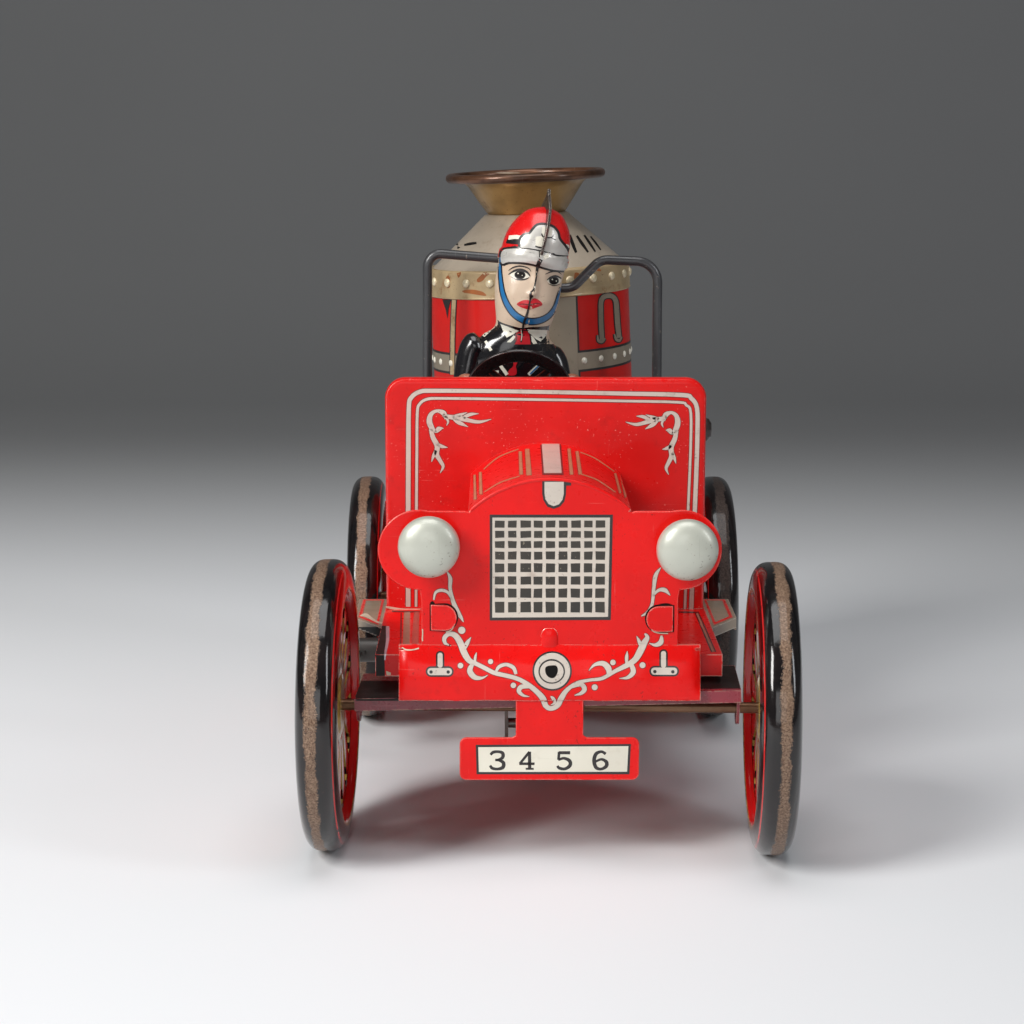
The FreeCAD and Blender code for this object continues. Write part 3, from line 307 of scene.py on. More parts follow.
def wheel_material(name, side, seed, lead):
    """Tyre, worn tread, pinstripe, gold lip, red wall, spokes: laid out by radius and width."""
    n = Net(name)
    sep = n.t.nodes.new("ShaderNodeSeparateXYZ")
    n.link(n.mm, sep.inputs[0])
    X, Y, Z = sep.outputs
    u = n.math("MULTIPLY", X, side)
    r = n.math("SQRT", n.math("ADD", n.math("MULTIPLY", Y, Y), n.math("MULTIPLY", Z, Z)))
    ang = n.math("ARCTAN2", Z, Y)
    o = (seed * 11.0, seed * 5.0, seed)
    base = n.mix(n.step(n.noise(0.1, 3, 0.6, off=o), 0.4, 0.6), lin(14, 12, 13), lin(26, 20, 20))
    rag = n.math("MULTIPLY", n.math("SUBTRACT", n.noise(0.16, 4, 0.62, off=o), 0.5), 2.2)
    rag2 = n.math("MULTIPLY", n.math("SUBTRACT", n.noise(3.2, 4, 0.7, off=o), 0.5), 2.0)
    d = n.math("ABSOLUTE", n.math("SUBTRACT", u, lead))
    d = n.math("ADD", d, n.math("ADD", rag, rag2))
    worn = n.math("MULTIPLY", n.step(d, 1.30, 1.08), n.step(r, 29.9, 30.6))
    rustn = n.noise(2.4, 5, 0.75, off=(o[0] + 3, o[1], o[2]))
    # The worn stripe and its rust are drawn darker on the rear right wheel only.
    stripe_darker_rear_right = name.endswith("rear_right")
    lo, hi = ((38, 28, 26), (86, 72, 64)) if stripe_darker_rear_right else ((92, 66, 50), (156, 130, 108))
    rust = n.mix(n.step(rustn, 0.36, 0.66), lin(*lo), lin(*hi))
    rust = n.mix(n.step(n.noise(3.0, 2, 0.5, off=o), 0.60, 0.72), rust, lin(52, 36, 32))
    c = n.mix(worn, base, rust)
    # small chips along the shoulders
    ch = n.math("MULTIPLY", n.step(n.noise(1.3, 4, 0.7, off=(o[0] + 50, o[1], o[2])), 0.70, 0.73), 1.0)
    c = n.mix(ch, c, lin(120, 96, 82))
    # disc art: everything inside the gold lip
    disc = n.step(r, 25.15, 25.05)
    k = 14.0 / (2 * pi)
    fr = n.math("FRACT", n.math("ADD", n.math("MULTIPLY", ang, k), 0.5))
    petal = n.math("ABSOLUTE", n.math("SUBTRACT", fr, 0.5))      # 0 in the middle of a spoke
    wide = n.math("ADD", 0.20, n.math("MULTIPLY", r, 0.004))
    inp = n.math("LESS_THAN", petal, wide)
    line = n.math("LESS_THAN", n.math("ABSOLUTE", n.math("SUBTRACT", petal, wide)), 0.022)
    rad_in = n.math("MULTIPLY", n.math("GREATER_THAN", r, 9.4), n.math("LESS_THAN", r, 22.4))
    gold = n.mix(n.step(n.noise(0.4, 3, 0.6, off=o), 0.3, 0.7), lin(150, 122, 60), lin(196, 166, 92))
    dc = n.mix(n.math("MULTIPLY", inp, rad_in), gold, lin(200, 22, 18))
    dc = n.mix(n.math("MULTIPLY", line, rad_in), dc, lin(22, 16, 14))
    ring = n.math("LESS_THAN", n.math("ABSOLUTE", n.math("SUBTRACT", r, 23.1)), 0.35)
    ring2 = n.math("LESS_THAN", n.math("ABSOLUTE", n.math("SUBTRACT", r, 8.6)), 0.45)
    dc = n.mix(n.math("MAXIMUM", ring, ring2), dc, lin(22, 16, 14))
    c = n.mix(disc, c, dc)
    # recess wall, gold lip and pinstripe
    redw = n.math("MULTIPLY", n.math("GREATER_THAN", r, 23.6), n.math("LESS_THAN", r, 25.45))
    c = n.mix(redw, c, lin(196, 24, 24))
    lip = n.math("MULTIPLY", n.step(r, 25.35, 25.5), n.step(r, 26.35, 26.2))
    c = n.mix(lip, c, n.mix(n.step(n.noise(0.8, 3, 0.6, off=o), 0.4, 0.6), lin(176, 134, 70), lin(120, 70, 40)))
    pin = n.math("LESS_THAN", n.math("ABSOLUTE", n.math("SUBTRACT", r, 29.95)), 0.22)
    pin = n.math("MULTIPLY", pin, n.step(n.noise(0.35, 3, 0.6, off=(o[0] + 8, o[1], o[2])), 0.30, 0.40))
    pin = n.math("MULTIPLY", pin, n.math("LESS_THAN", u, 0.0))
    c = n.mix(pin, c, lin(190, 40, 40))
    ro = n.math("ADD", n.math("MULTIPLY", worn, 0.45), n.math("ADD", 0.09, n.math("MULTIPLY", n.noise(0.4, 3, 0.6, off=o), 0.10)))
    h = n.math("SUBTRACT", n.math("MULTIPLY", n.noise(0.35, 3, 0.5, off=o), 0.8), n.math("MULTIPLY", worn, 0.8))
    h = n.math("ADD", h, n.math("MULTIPLY", n.math("MULTIPLY", rustn, worn), 0.9))
    me = n.math("MULTIPLY", worn, 0.35)
    return n.done(c, ro, me, h, 0.45, 0.4, 0.4)


# ------------------------------------------------------------------ mesh tools
def make(name, verts, faces, mat, body, rep=(), smooth=35.0, M=None, mat_ids=None, bevel=None, recalc=True):
    me = bpy.data.meshes.new(name)
    me.from_pydata([(v[0] / 1000.0, v[1] / 1000.0, v[2] / 1000.0) for v in verts], [], faces)
    mats = mat if isinstance(mat, (list, tuple)) else [mat]
    for q in mats:
        me.materials.append(q)
    if mat_ids:
        for p, i in zip(me.polygons, mat_ids):
            p.material_index = i
    if recalc:
        bm = bmesh.new()
        bm.from_mesh(me)
        bmesh.ops.recalc_face_normals(bm, faces=bm.faces)
        bm.to_mesh(me)
        bm.free()
    ob = bpy.data.objects.new(name, me)
    bpy.context.scene.collection.objects.link(ob)
    if M is not None:
        ob.matrix_world = M
    if bevel:
        md = ob.modifiers.new("soft_edges", "BEVEL")
        md.width = bevel / 1000.0
        md.segments = 2
        md.limit_method = "ANGLE"
        md.angle_limit = rad(40)
    for p in me.polygons:
        p.use_smooth = True
    if smooth:
        me.set_sharp_from_angle(angle=rad(smooth))
    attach(ob, body)
    if rep:
        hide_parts(*rep)
    return ob


def curve_pts(pts, n=6, closed=False):
    """Catmull-Rom through points of any size."""
    out = []
    m = len(pts)
    rng = range(m) if closed else range(m - 1)
    for i in rng:
        p1, p2 = pts[i], pts[(i + 1) % m]
        p0 = pts[(i - 1) % m] if closed or i > 0 else p1
        p3 = pts[(i + 2) % m] if closed or i + 2 < m else p2
        for k in range(n):
            t = k / n
            out.append(tuple(0.5 * (2 * b + (c - a) * t + (2 * a - 5 * b + 4 * c - d) * t * t +
                                    (3 * b - a - 3 * c + d) * t ** 3)
                             for a, b, c, d in zip(p0, p1, p2, p3)))
    if not closed:
        out.append(tuple(pts[-1]))
    return out


def lathe(prof, n=128, a0=0.0, a1=2 * pi):
    """Closed (r, h) outline turned about +Z; returns verts and faces."""
    full = abs(a1 - a0 - 2 * pi) < 1e-6
    verts, faces = [], []
    cols = n if full else n + 1
    m = len(prof)
    for j in range(cols):
        a = a0 + (a1 - a0) * j / n
        for r, h in prof:
            r = max(r, 0.002)
            verts.append((r * cos(a), r * sin(a), h))
    for j in range(n):
        j2 = (j + 1) % cols
        for i in range(m):
            i2 = (i + 1) % m
            faces.append((j * m + i, j2 * m + i, j2 * m + i2, j * m + i2))
    if not full:
        faces.append(tuple(range(m)))
        faces.append(tuple((cols - 1) * m + i for i in reversed(range(m))))
    return verts, faces


def prism(outline, y0, y1):
    """Closed (x, z) outline between two Y planes."""
    n = len(outline)
    v = [(x, y0, z) for x, z in outline] + [(x, y1, z) for x, z in outline]
    f = [tuple(range(n)), tuple(range(2 * n - 1, n - 1, -1))]
    f += [(i, n + i, n + (i + 1) % n, (i + 1) % n) for i in range(n)]
    return v, f


def join(*parts):
    verts, faces = [], []
    for v, f in parts:
        k = len(verts)
        verts += list(v)
        faces += [tuple(i + k for i in q) for q in f]
    return verts, faces


def move(vf, fn):
    return [fn(Vector(p)) for p in vf[0]], vf[1]


def tube(path, r, n=20, closed=False):
    pts = [Vector(p) for p in path]
    verts, faces = [], []
    up = Vector((0, 1, 0.01)).normalized()
    m = len(pts)
    for i, p in enumerate(pts):
        t = (pts[min(i + 1, m - 1)] - pts[max(i - 1, 0)]).normalized()
        s = t.cross(up)
        if s.length < 0.2:
            s = t.cross(Vector((1, 0, 0)))
        s.normalize()
        q = s.cross(t).normalized()
        rr = r(i / (m - 1)) if callable(r) else r
        for k in range(n):
            a = 2 * pi * k / n
            verts.append(p + s * (rr * cos(a)) + q * (rr * sin(a)))
    for i in range(m - 1):
        for k in range(n):
            k2 = (k + 1) % n
            faces.append((i * n + k, (i + 1) * n + k, (i + 1) * n + k2, i * n + k2))
    faces.append(tuple(range(n)))
    faces.append(tuple((m - 1) * n + k for k in reversed(range(n))))
    return verts, faces


# ------------------------------------------------------------------ printed art
def stroke(pts, n=5, k=1.0, grow=0.0):
    """Tapered stroke (x, y, width) to a closed outline."""
    q = curve_pts([tuple(map(float, p)) for p in pts], n) if len(pts) > 2 else [tuple(map(float, p)) for p in pts]
    lft, rgt = [], []
    for i, (x, y, w) in enumerate(q):
        x0, y0, _ = q[max(i - 1, 0)]
        x1, y1, _ = q[min(i + 1, len(q) - 1)]
        dx, dy = x1 - x0, y1 - y0
        l = math.hypot(dx, dy) or 1.0
        hw = max(w * k / 2 + grow, 0.6)
        lft.append((x - dy / l * hw, y + dx / l * hw))
        rgt.append((x + dy / l * hw, y - dx / l * hw))
    return lft + rgt[::-1]


def blob(cx, cy, rx, ry=None, n=24, rot=0.0):
    ry = ry or rx
    out = []
    for i in range(n):
        a = 2 * pi * i / n
        x, y = rx * cos(a), ry * sin(a)
        out.append((cx + x * cos(rot) - y * sin(rot), cy + x * sin(rot) + y * cos(rot)))
    return out


def grown(poly, d):
    cx = sum(p[0] for p in poly) / len(poly)
    cy = sum(p[1] for p in poly) / len(poly)
    n = len(poly)
    area = sum(poly[i][0] * poly[(i + 1) % n][1] - poly[(i + 1) % n][0] * poly[i][1] for i in range(n))
    sg = 1 if area > 0 else -1
    out = []
    for i in range(n):
        x0, y0 = poly[i - 1]
        x1, y1 = poly[(i + 1) % n]
        dx, dy = x1 - x0, y1 - y0
        l = math.hypot(dx, dy) or 1.0
        out.append((poly[i][0] + sg * dy / l * d, poly[i][1] - sg * dx / l * d))
    return out


def print_on(name, polys, sheet, mat, body, y=None, trees=None, level=0, grid=None):
    """Thin closed patches of ink, and also of painted shade and painted highlight. polys are outlines on a drawing
    sheet; they land on the plane at y or on a mesh.
    """
    bm = bmesh.new()
    lift, thick = 0.03 + 0.022 * level, 0.02
    for poly in polys:
        pp = [sheet(*p) for p in poly]
        one = bmesh.new()
        vs = [one.verts.new((x, yy, 0)) for x, yy in pp]
        try:
            one.faces.new(vs)
        except ValueError:
            one.free()
            continue
        bmesh.ops.triangulate(one, faces=one.faces[:], ngon_method="BEAUTY")
        if grid:
            x0, x1 = min(p[0] for p in pp), max(p[0] for p in pp)
            y0, y1 = min(p[1] for p in pp), max(p[1] for p in pp)
            g = math.floor(x0 / grid) * grid + grid
            while g < x1:
                bmesh.ops.bisect_plane(one, geom=one.verts[:] + one.edges[:] + one.faces[:], plane_co=(g, 0, 0), plane_no=(1, 0, 0))
                g += grid
            g = math.floor(y0 / grid) * grid + grid
            while g < y1:
                bmesh.ops.bisect_plane(one, geom=one.verts[:] + one.edges[:] + one.faces[:], plane_co=(0, g, 0), plane_no=(0, 1, 0))
                g += grid
            bmesh.ops.triangulate(one, faces=one.faces[:])
        one.verts.ensure_lookup_table()
        top, bot, ok = {}, {}, {}
        for v in one.verts:
            if y is not None:
                p = on_y(v.co.x, v.co.y, y)
                nr = Vector((0, -1, 0))
            else:
                d = ray(v.co.x, v.co.y)
                best = None
                for t in trees:
                    hit = t.ray_cast(CAM, d)
                    if hit[0] is not None and (best is None or hit[3] < best[3]):
                        best = hit
                if best is None:
                    ok[v.index] = False
                    continue
                p, nr = best[0], best[1]
                if nr.dot(d) > 0:
                    nr = -nr
            ok[v.index] = True
            top[v.index] = bm.verts.new((p + nr * lift) / 1000.0)
            bot[v.index] = bm.verts.new((p + nr * (lift - thick)) / 1000.0)
        for f in one.faces:
            ids = [v.index for v in f.verts]
            if all(ok[i] for i in ids):
                try:
                    bm.faces.new([top[i] for i in ids])
                    bm.faces.new([bot[i] for i in reversed(ids)])
                except ValueError:
                    pass
        for e in one.edges:
            good = [f for f in e.link_faces if all(ok[v.index] for v in f.verts)]
            if len(good) == 1:
                i, j = e.verts[0].index, e.verts[1].index
                try:
                    bm.faces.new((top[i], top[j], bot[j], bot[i]))
                except ValueError:
                    pass
        one.free()
    loose = [v for v in bm.verts if not v.link_faces]
    bmesh.ops.delete(bm, geom=loose, context="VERTS")
    bmesh.ops.recalc_face_normals(bm, faces=bm.faces)
    me = bpy.data.meshes.new(name)
    bm.to_mesh(me)
    bm.free()
    me.materials.append(mat)
    for p in me.polygons:
        p.use_smooth = True
    me.set_sharp_from_angle(angle=rad(40))
    ob = bpy.data.objects.new(name, me)
    bpy.context.scene.collection.objects.link(ob)
    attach(ob, body)
    return ob


def tree_of(*obs):
    out = []
    for ob in obs:
        M = ob.matrix_world
        out.append(BVHTree.FromPolygons([(M @ v.co) * 1000.0 for v in ob.data.vertices],
                                        [tuple(p.vertices) for p in ob.data.polygons]))
    return out


def arc(cx, cz, r, a0, a1, n):
    return [(cx + r * cos(rad(a0 + (a1 - a0) * i / n)), cz + r * sin(rad(a0 + (a1 - a0) * i / n))) for i in range(n + 1)]


# ------------------------------------------------------------------ carried-over pieces
# Painted shade: the winding key sits in shade under the left step, so it gets its own darkened copy of the steel
# colour.
m_key_shaded_steel = tin("key_steel_painted_shade", lin(62, 60, 58), 0.38, metal=0.6, coat=0.05, var=0.2, grime=0.5, seed=58)
slot_mats = {"red_tin": m_red, "lamp_white": m_lamp, "lamp_tin": m_lamp_tin, "tyre_black": m_coat,
             "axle_brown": m_axle, "boiler_litho": m_boil_red, "boiler_grey": m_cone, "collar_cream": m_collar,
             "funnel_brass": m_funnel, "rail_grey": m_wire, "bracket_maroon": m_maroon, "step_grey": m_step,
             "steel": m_steel, "spring_blue": m_spring, "brass": m_brass, "figure_litho": m_face,
             "coat_black": m_coat, "seat_brown": m_seat, "wheel_black": m_wheel_black, "knob_brown": m_knob}
for sp in frame["record"]["subparts"]:
    ob = frame["nodes"][sp["node"]]
    for s in ob.material_slots:
        s.material = m_key_shaded_steel if sp["node"] == "winding_key" else slot_mats[sp["material_slot"]]
    if not ob.material_slots:
        ob.data.materials.append(slot_mats[sp["material_slot"]])

# ------------------------------------------------------------------ dimensions shared with the part
YF, YR, ZA = -66.7, 50.3, 31.65
PIV_Y = YF + 5.5
PLATE_Y, DASH_Y, TRAY_Z, T = -74.95, -21.95, 43.5, 0.5

# ------------------------------------------------------------------ wheels
OUT = [(31.65, 0.0), (31.65, 0.8), (31.6, 1.5), (31.4, 2.3), (30.95, 3.1), (30.2, 3.8), (29.1, 4.35), (27.6, 4.65),
       (26.3, 4.75), (25.75, 4.72), (25.4, 4.5), (25.15, 4.0), (25.0, 3.3), (24.8, 2.75)]
INN = [(25.25, 2.25), (25.45, 3.8), (25.65, 4.2), (25.95, 4.3), (27.5, 4.2), (28.92, 3.93), (29.93, 3.43),
       (30.68, 2.72), (31.05, 2.05), (31.2, 1.35), (31.2, 0.0)]


def disc_mesh(d):
    """Pierced spoked disc at height 2.25..2.75 on side d, hub raised."""
    rr = [1.25, 3.0, 5.3, 5.9, 6.6, 7.3, 8.2, 9.2, 9.7, 10.6, 13.0, 16.0, 19.0, 21.4, 22.3, 22.9, 23.3, 23.7, 24.2, 25.1]
    uu = [3.3, 3.3, 3.3, 3.22, 3.0, 2.75, 2.75, 2.75, 2.75, 2.75, 2.75, 2.75, 2.75, 2.75, 2.75, 2.75, 2.9, 2.9, 2.75, 2.75]
    half = {9.2: 0.8, 9.7: 2.2, 10.6: 2.8, 13.0: 3.4, 16.0: 4.1, 19.0: 4.9, 21.4: 5.5, 22.3: 4.6, 22.9: 1.2}
    nw, ns = 6, 10
    cols = 14 * (nw + ns)
    verts, faces = [], []
    m = len(rr)
    for layer in (0, 1):
        for j in range(cols):
            k, t = divmod(j, nw + ns)
            for i in range(m):
                hw = half.get(rr[i], 3.0 if rr[i] < 12 else 5.0)
                step = 360.0 / 14
                if t <= nw:
                    a = -hw + 2 * hw * t / nw
                else:
                    a = hw + (step - 2 * hw) * (t - nw) / ns
                a = rad(a + step * (k + 0.5))
                x = d * (uu[i] - 0.5 * layer) * 8.8 / 9.5
                bulge = 0.12 * sin(pi * max(0.0, min(1.0, (t - nw) / ns))) if t > nw and 9.5 < rr[i] < 22.5 else 0.0
                verts.append((x + d * bulge, rr[i] * cos(a), rr[i] * sin(a)))
    N = cols * m
    used = {}

    def edge(a, b):
        used[(min(a, b), max(a, b))] = used.get((min(a, b), max(a, b)), 0) + 1
    for j in range(cols):
        j2 = (j + 1) % cols
        t = j % (nw + ns)
        for i in range(m - 1):
            if t < nw and rr[i] >= 9.2 and rr[i + 1] <= 22.9:
                continue
            q = (j * m + i, j2 * m + i, j2 * m + i + 1, j * m + i + 1)
            faces.append(q)
            faces.append(tuple(N + v for v in reversed(q)))
            for a, b in zip(q, q[1:] + q[:1]):
                edge(a, b)
    for (a, b), c in used.items():
        if c == 1:
            faces.append((a, b, N + b, N + a))
    return verts, faces


def wheel_frame(end, side):
    if end == "front":
        xc = side * (43.65 + 4.4) + 0.4
        M = Matrix.Translation((0, PIV_Y / 1000, 0)) @ Matrix.Rotation(rad(-1.9), 4, "Z") @ \
            Matrix.Translation((xc / 1000, (YF - PIV_Y) / 1000, ZA / 1000))
    else:
        xc = side * (41.05 + 4.4) + 0.25
        M = Matrix.Translation((xc / 1000, YR / 1000, ZA / 1000))
    return M


WK = 8.8 / 9.5
SKIN = [(r, u * WK) for r, u in curve_pts(OUT, 3) + INN]
for ei, end in enumerate(("front", "rear")):
    for si, (side_name, side) in enumerate((("left", -1), ("right", 1))):
        M = wheel_frame(end, side)
        wm = wheel_material("tyre_%s_%s" % (end, side_name), side, 1 + ei * 2 + si, 0.75 if end == "front" else 0.5)
        for half_name, d in (("outer", side), ("inner", -side)):
            v, f = lathe(SKIN, 180)
            wob = [(rnd.uniform(-1, 1), rnd.uniform(0, 6.28)) for _ in range(4)]
            tv = []
            for p in v:
                a = math.atan2(p[1], p[0])
                r = math.hypot(p[0], p[1])
                g = sum(w * sin((i + 3) * a + ph) for i, (w, ph) in enumerate(wob)) * 0.03
                r2 = r - abs(g)
                tv.append((d * p[2], r2 * cos(a), r2 * sin(a)))
            node = "%s_wheel_%s_%s" % (end, side_name, half_name)
            make(node + "_rim", tv, f, wm, end + "_wheels", rep=(node,), M=M, smooth=50)
            dv, df = disc_mesh(d)
            make(node + "_spokes", dv, df, wm, end + "_wheels", M=M, smooth=35)

# ------------------------------------------------------------------ front plate
def front_outline():
    half = [(32.1, 46.4), (32.1, 46.9), (27.3, 46.9), (27.3, 57.0), (27.6, 59.12)]
    half += arc(27.8, 67.7, 8.6, -88, 104, 30)
    half += [(20.5, 76.05), (17.9, 76.05)]
    r_arch = 24.6
    a_end = math.degrees(math.acos(17.2 / r_arch))
    half += arc(0, 82.8 - r_arch, r_arch, a_end, 90, 16)
    return half + [(-x, z) for x, z in reversed(half[:-1])]


upper = prism(front_outline(), PLATE_Y, PLATE_Y + T)
make("front_plate_upper", upper[0], upper[1], m_red, "chassis", rep=("front_plate",), bevel=0.18)
sk = curve_pts([(PLATE_Y, 47.2), (PLATE_Y - 1.0, 45.6), (PLATE_Y - 1.9, 43.6), (PLATE_Y - 2.5, 41.0), (PLATE_Y - 2.7, 38.6),
                (PLATE_Y - 2.68, 36.8), (PLATE_Y - 2.62, 35.9), (PLATE_Y - 2.45, 35.55)], 4)
sv, sf = [], []
nx = 60
prof2 = sk + [(y + 0.5, z + 0.05) for y, z in reversed(sk)]
for i in range(nx + 1):
    x = -32.1 + 64.2 * i / nx
    e = max(0.0, (abs(x) - 30.3) / 1.8)
    for y, z in prof2:
        bend = 0.9 * e * e * (max(0.1, min(1.0, (z - 36.4) / 2.5)) if z < 46.5 else 0)
        wave = 0.06 * sin(x * 0.31) + 0.05 * sin(x * 0.83 + 1)
        sv.append((x, y + bend + (wave if z < 44 else 0), z + 0.05 * sin(x * 0.4)))
mp = len(prof2)
for i in range(nx):
    for k in range(mp):
        k2 = (k + 1) % mp
        sf.append((i * mp + k, (i + 1) * mp + k, (i + 1) * mp + k2, i * mp + k2))
sf.append(tuple(range(mp)))
sf.append(tuple(nx * mp + k for k in reversed(range(mp))))
skirt = make("front_skirt", sv, sf, m_red, "chassis")
YB = PLATE_Y - 2.2


def round_rect(x0, x1, z0, z1, r, n=6):
    return arc(x1 - r, z0 + r, r, -90, 0, n) + arc(x1 - r, z1 - r, r, 0, 90, n) + \
        arc(x0 + r, z1 - r, r, 90, 180, n) + arc(x0 + r, z0 + r, r, 180, 270, n)


numb = [(7.2, 27.4), (7.2, 36.2), (-7.2, 36.2), (-7.2, 27.4)]
hw, r = 19.2, 1.5
outline = arc(hw - r, 18.0 + r, r, -90, 0, 6) + arc(hw - r, 27.4 - r, r, 0, 90, 6) + [(7.9, 27.4), (7.2, 27.9), (7.2, 36.3), (-7.2, 36.3), (-7.2, 27.9), (-7.9, 27.4)] + \
    arc(-hw + r, 27.4 - r, r, 90, 180, 6) + arc(-hw + r, 18.0 + r, r, 180, 270, 6)
pl = prism(outline, YB, YB + T)
make("number_plate", pl[0], pl[1], m_red, "chassis", bevel=0.16)

# pressed rib and flaps on the front plate
def pillow(cx, cz, hx, hz, h, y, n=14, power=4.0):
    """Raised, rounded pressing on the plane at y, standing h forwards."""
    v, f = [], []
    for ring in range(n + 1):
        t = ring / n
        for k in range(40):
            a = 2 * pi * k / 40
            ca, sa = cos(a), sin(a)
            s = (abs(ca) ** power + abs(sa) ** power) ** (-1 / power)
            v.append((cx + hx * t * s * ca, y - h * (1 - t ** 2.5) if t < 1 else y + 0.1, cz + hz * t * s * sa))
    for ring in range(n):
        for k in range(40):
            k2 = (k + 1) % 40
            f.append((ring * 40 + k, (ring + 1) * 40 + k, (ring + 1) * 40 + k2, ring * 40 + k2))
    f.append(tuple(n * 40 + k for k in range(40)))
    return v, f


ra = on_y(*C(800, 195), PLATE_Y)
v, f = pillow(ra.x, ra.z + 0.4, 1.9, 2.6, 0.55, PLATE_Y, power=3.0)
make("crank_rib", v, f, m_red, "chassis", smooth=60)
for side_name, sgn, cx, cy, hx in (("left", -1, 300, 82, 60), ("right", 1, 1322, 88, 62)):
    c0 = on_y(*C(cx, cy), PLATE_Y)
    w = hx / 4.723 / 4.72
    h = 62 / 4.723 / 4.72
    pts = [(c0.x + sgn * w, c0.z - h), (c0.x + sgn * w, c0.z + h), (c0.x - sgn * w * 0.1, c0.z + h)]
    cc = (c0.x - sgn * w * 0.1, c0.z)
    for i in range(1, 14):
        a = pi / 2 + pi * i / 14
        pts.append((cc[0] + sgn * (cos(a)) * w * 0.95, cc[1] + sin(a) * h))
    pts.append((c0.x - sgn * w * 0.1, c0.z - h))
    v, f = prism(pts, PLATE_Y - 0.75, PLATE_Y - 0.3)
    vv = []
    for p in v:
        k = (p[0] - (c0.x + sgn * w)) / (2 * w)
        vv.append((p[0], p[1] + 0.5 * (1 - min(1, abs(k) * 1.2)) - 0.1, p[2]))
    make("pressed_flap_" + side_name, vv, f, m_red, "chassis", bevel=0.1)
    g = grown(pts, 0.28 if sgn > 0 else 0.28)
    # Painted shade: a dark sheet in the gap around each pressed flap.
    v, f = prism(g, PLATE_Y - 0.06, PLATE_Y + 0.02)
    make("flap_gap_" + side_name, v, f, m_hole_shade, "chassis")

# ------------------------------------------------------------------ bonnet
def hood_section(hx, wall_z, top, z0, n=48):
    rise = top - wall_z
    r = (hx * hx + rise * rise) / (2 * rise)
    cz = top - r
    a0 = math.degrees(math.asin((wall_z - cz) / r))
    return [(hx, z0)] + arc(0, cz, r, a0, 180 - a0, n) + [(-hx, z0)]


so = hood_section(17.3, 75.7, 83.0, TRAY_Z)
si_ = hood_section(16.8, 75.5, 82.5, TRAY_Z)
y0, y1 = PLATE_Y + T, DASH_Y
v, f = [], []
ns = 24
loop = so + si_[::-1]
m = len(loop)
for i in range(ns + 1):
    y = y0 + (y1 - y0) * i / ns
    for x, z in loop:
        dent = 0.10 * math.exp(-((y - y0 - 6) / 5) ** 2) * cos(x * 0.35) if z > 70 else 0.0
        v.append((x, y, z - dent))
for i in range(ns):
    for k in range(m):
        k2 = (k + 1) % m
        f.append((i * m + k, (i + 1) * m + k, (i + 1) * m + k2, i * m + k2))
f.append(tuple(range(m)))
f.append(tuple(ns * m + k for k in reversed(range(m))))
hood = make("bonnet_shell", v, f, m_red, "chassis", rep=("bonnet",), smooth=30)
foot = join(*[([(sg * 16.8, YF + 0.4, TRAY_Z), (sg * 19.5, YF + 0.4, TRAY_Z), (sg * 19.5, y1 - 2, TRAY_Z), (sg * 16.8, y1 - 2, TRAY_Z),
                (sg * 16.8, YF + 0.4, TRAY_Z + T), (sg * 19.5, YF + 0.4, TRAY_Z + T), (sg * 19.5, y1 - 2, TRAY_Z + T), (sg * 16.8, y1 - 2, TRAY_Z + T)],
               [(0, 1, 2, 3), (7, 6, 5, 4), (0, 4, 5, 1), (1, 5, 6, 2), (2, 6, 7, 3), (3, 7, 4, 0)]) for sg in (-1, 1)])
make("bonnet_feet", foot[0], foot[1], m_red, "chassis", bevel=0.12)
lip_path = [(x, PLATE_Y + 0.25, z + 0.1) for x, z in arc(0, 82.8 - 24.6, 24.5, math.degrees(math.acos(17.2 / 24.6)) + 1, 179 - math.degrees(math.acos(17.2 / 24.6)), 40)]
v, f = tube(lip_path, 0.42, 12)
make("bonnet_front_bead", v, f, m_red, "chassis", smooth=60)

# ------------------------------------------------------------------ dashboard
def dash_outline(d):
    hx, z1, r = 37.2 - d, 98.0 - d, max(4.7 - d, 0.6)
    return [(hx, 43.6 + (0.0 if d < 0.01 else 0.0))] + arc(hx - r, z1 - r, r, 0, 90, 14) + arc(-hx + r, z1 - r, r, 90, 180, 14) + [(-hx, 43.6)]


rings = [(1.3, DASH_Y), (0.75, DASH_Y + 0.05), (0.36, DASH_Y + 0.22), (0.1, DASH_Y + 0.55), (0.0, DASH_Y + 1.0), (0.0, DASH_Y + 3.0),
         (0.45, DASH_Y + 3.0), (0.5, DASH_Y + 1.1), (0.7, DASH_Y + 0.7), (1.3, DASH_Y + 0.5)]
v, f = [], []
for d, y in rings:
    for x, z in dash_outline(d):
        v.append((x, y, z))
m = len(dash_outline(0))
for i in range(len(rings) - 1):
    for k in range(m - 1):
        f.append((i * m + k, (i + 1) * m + k, (i + 1) * m + k + 1, i * m + k + 1))
f.append(tuple(range(m)))
last = (len(rings) - 1) * m
f.append(tuple(last + k for k in reversed(range(m))))
for k in (0, m - 1):
    f.append(tuple(i * m + k for i in range(len(rings))))
f.append((0, m - 1, last + m - 1, last))
dash = make("dashboard_panel", v, f, m_red_dash, "chassis", rep=("dashboard",), smooth=28)
v, f = prism([(-30, 43.6), (30, 43.6), (30, 44.1), (-30, 44.1)], DASH_Y + 0.5, DASH_Y + 4.0)
make("dashboard_foot", v, f, m_red_dash, "chassis", bevel=0.12)

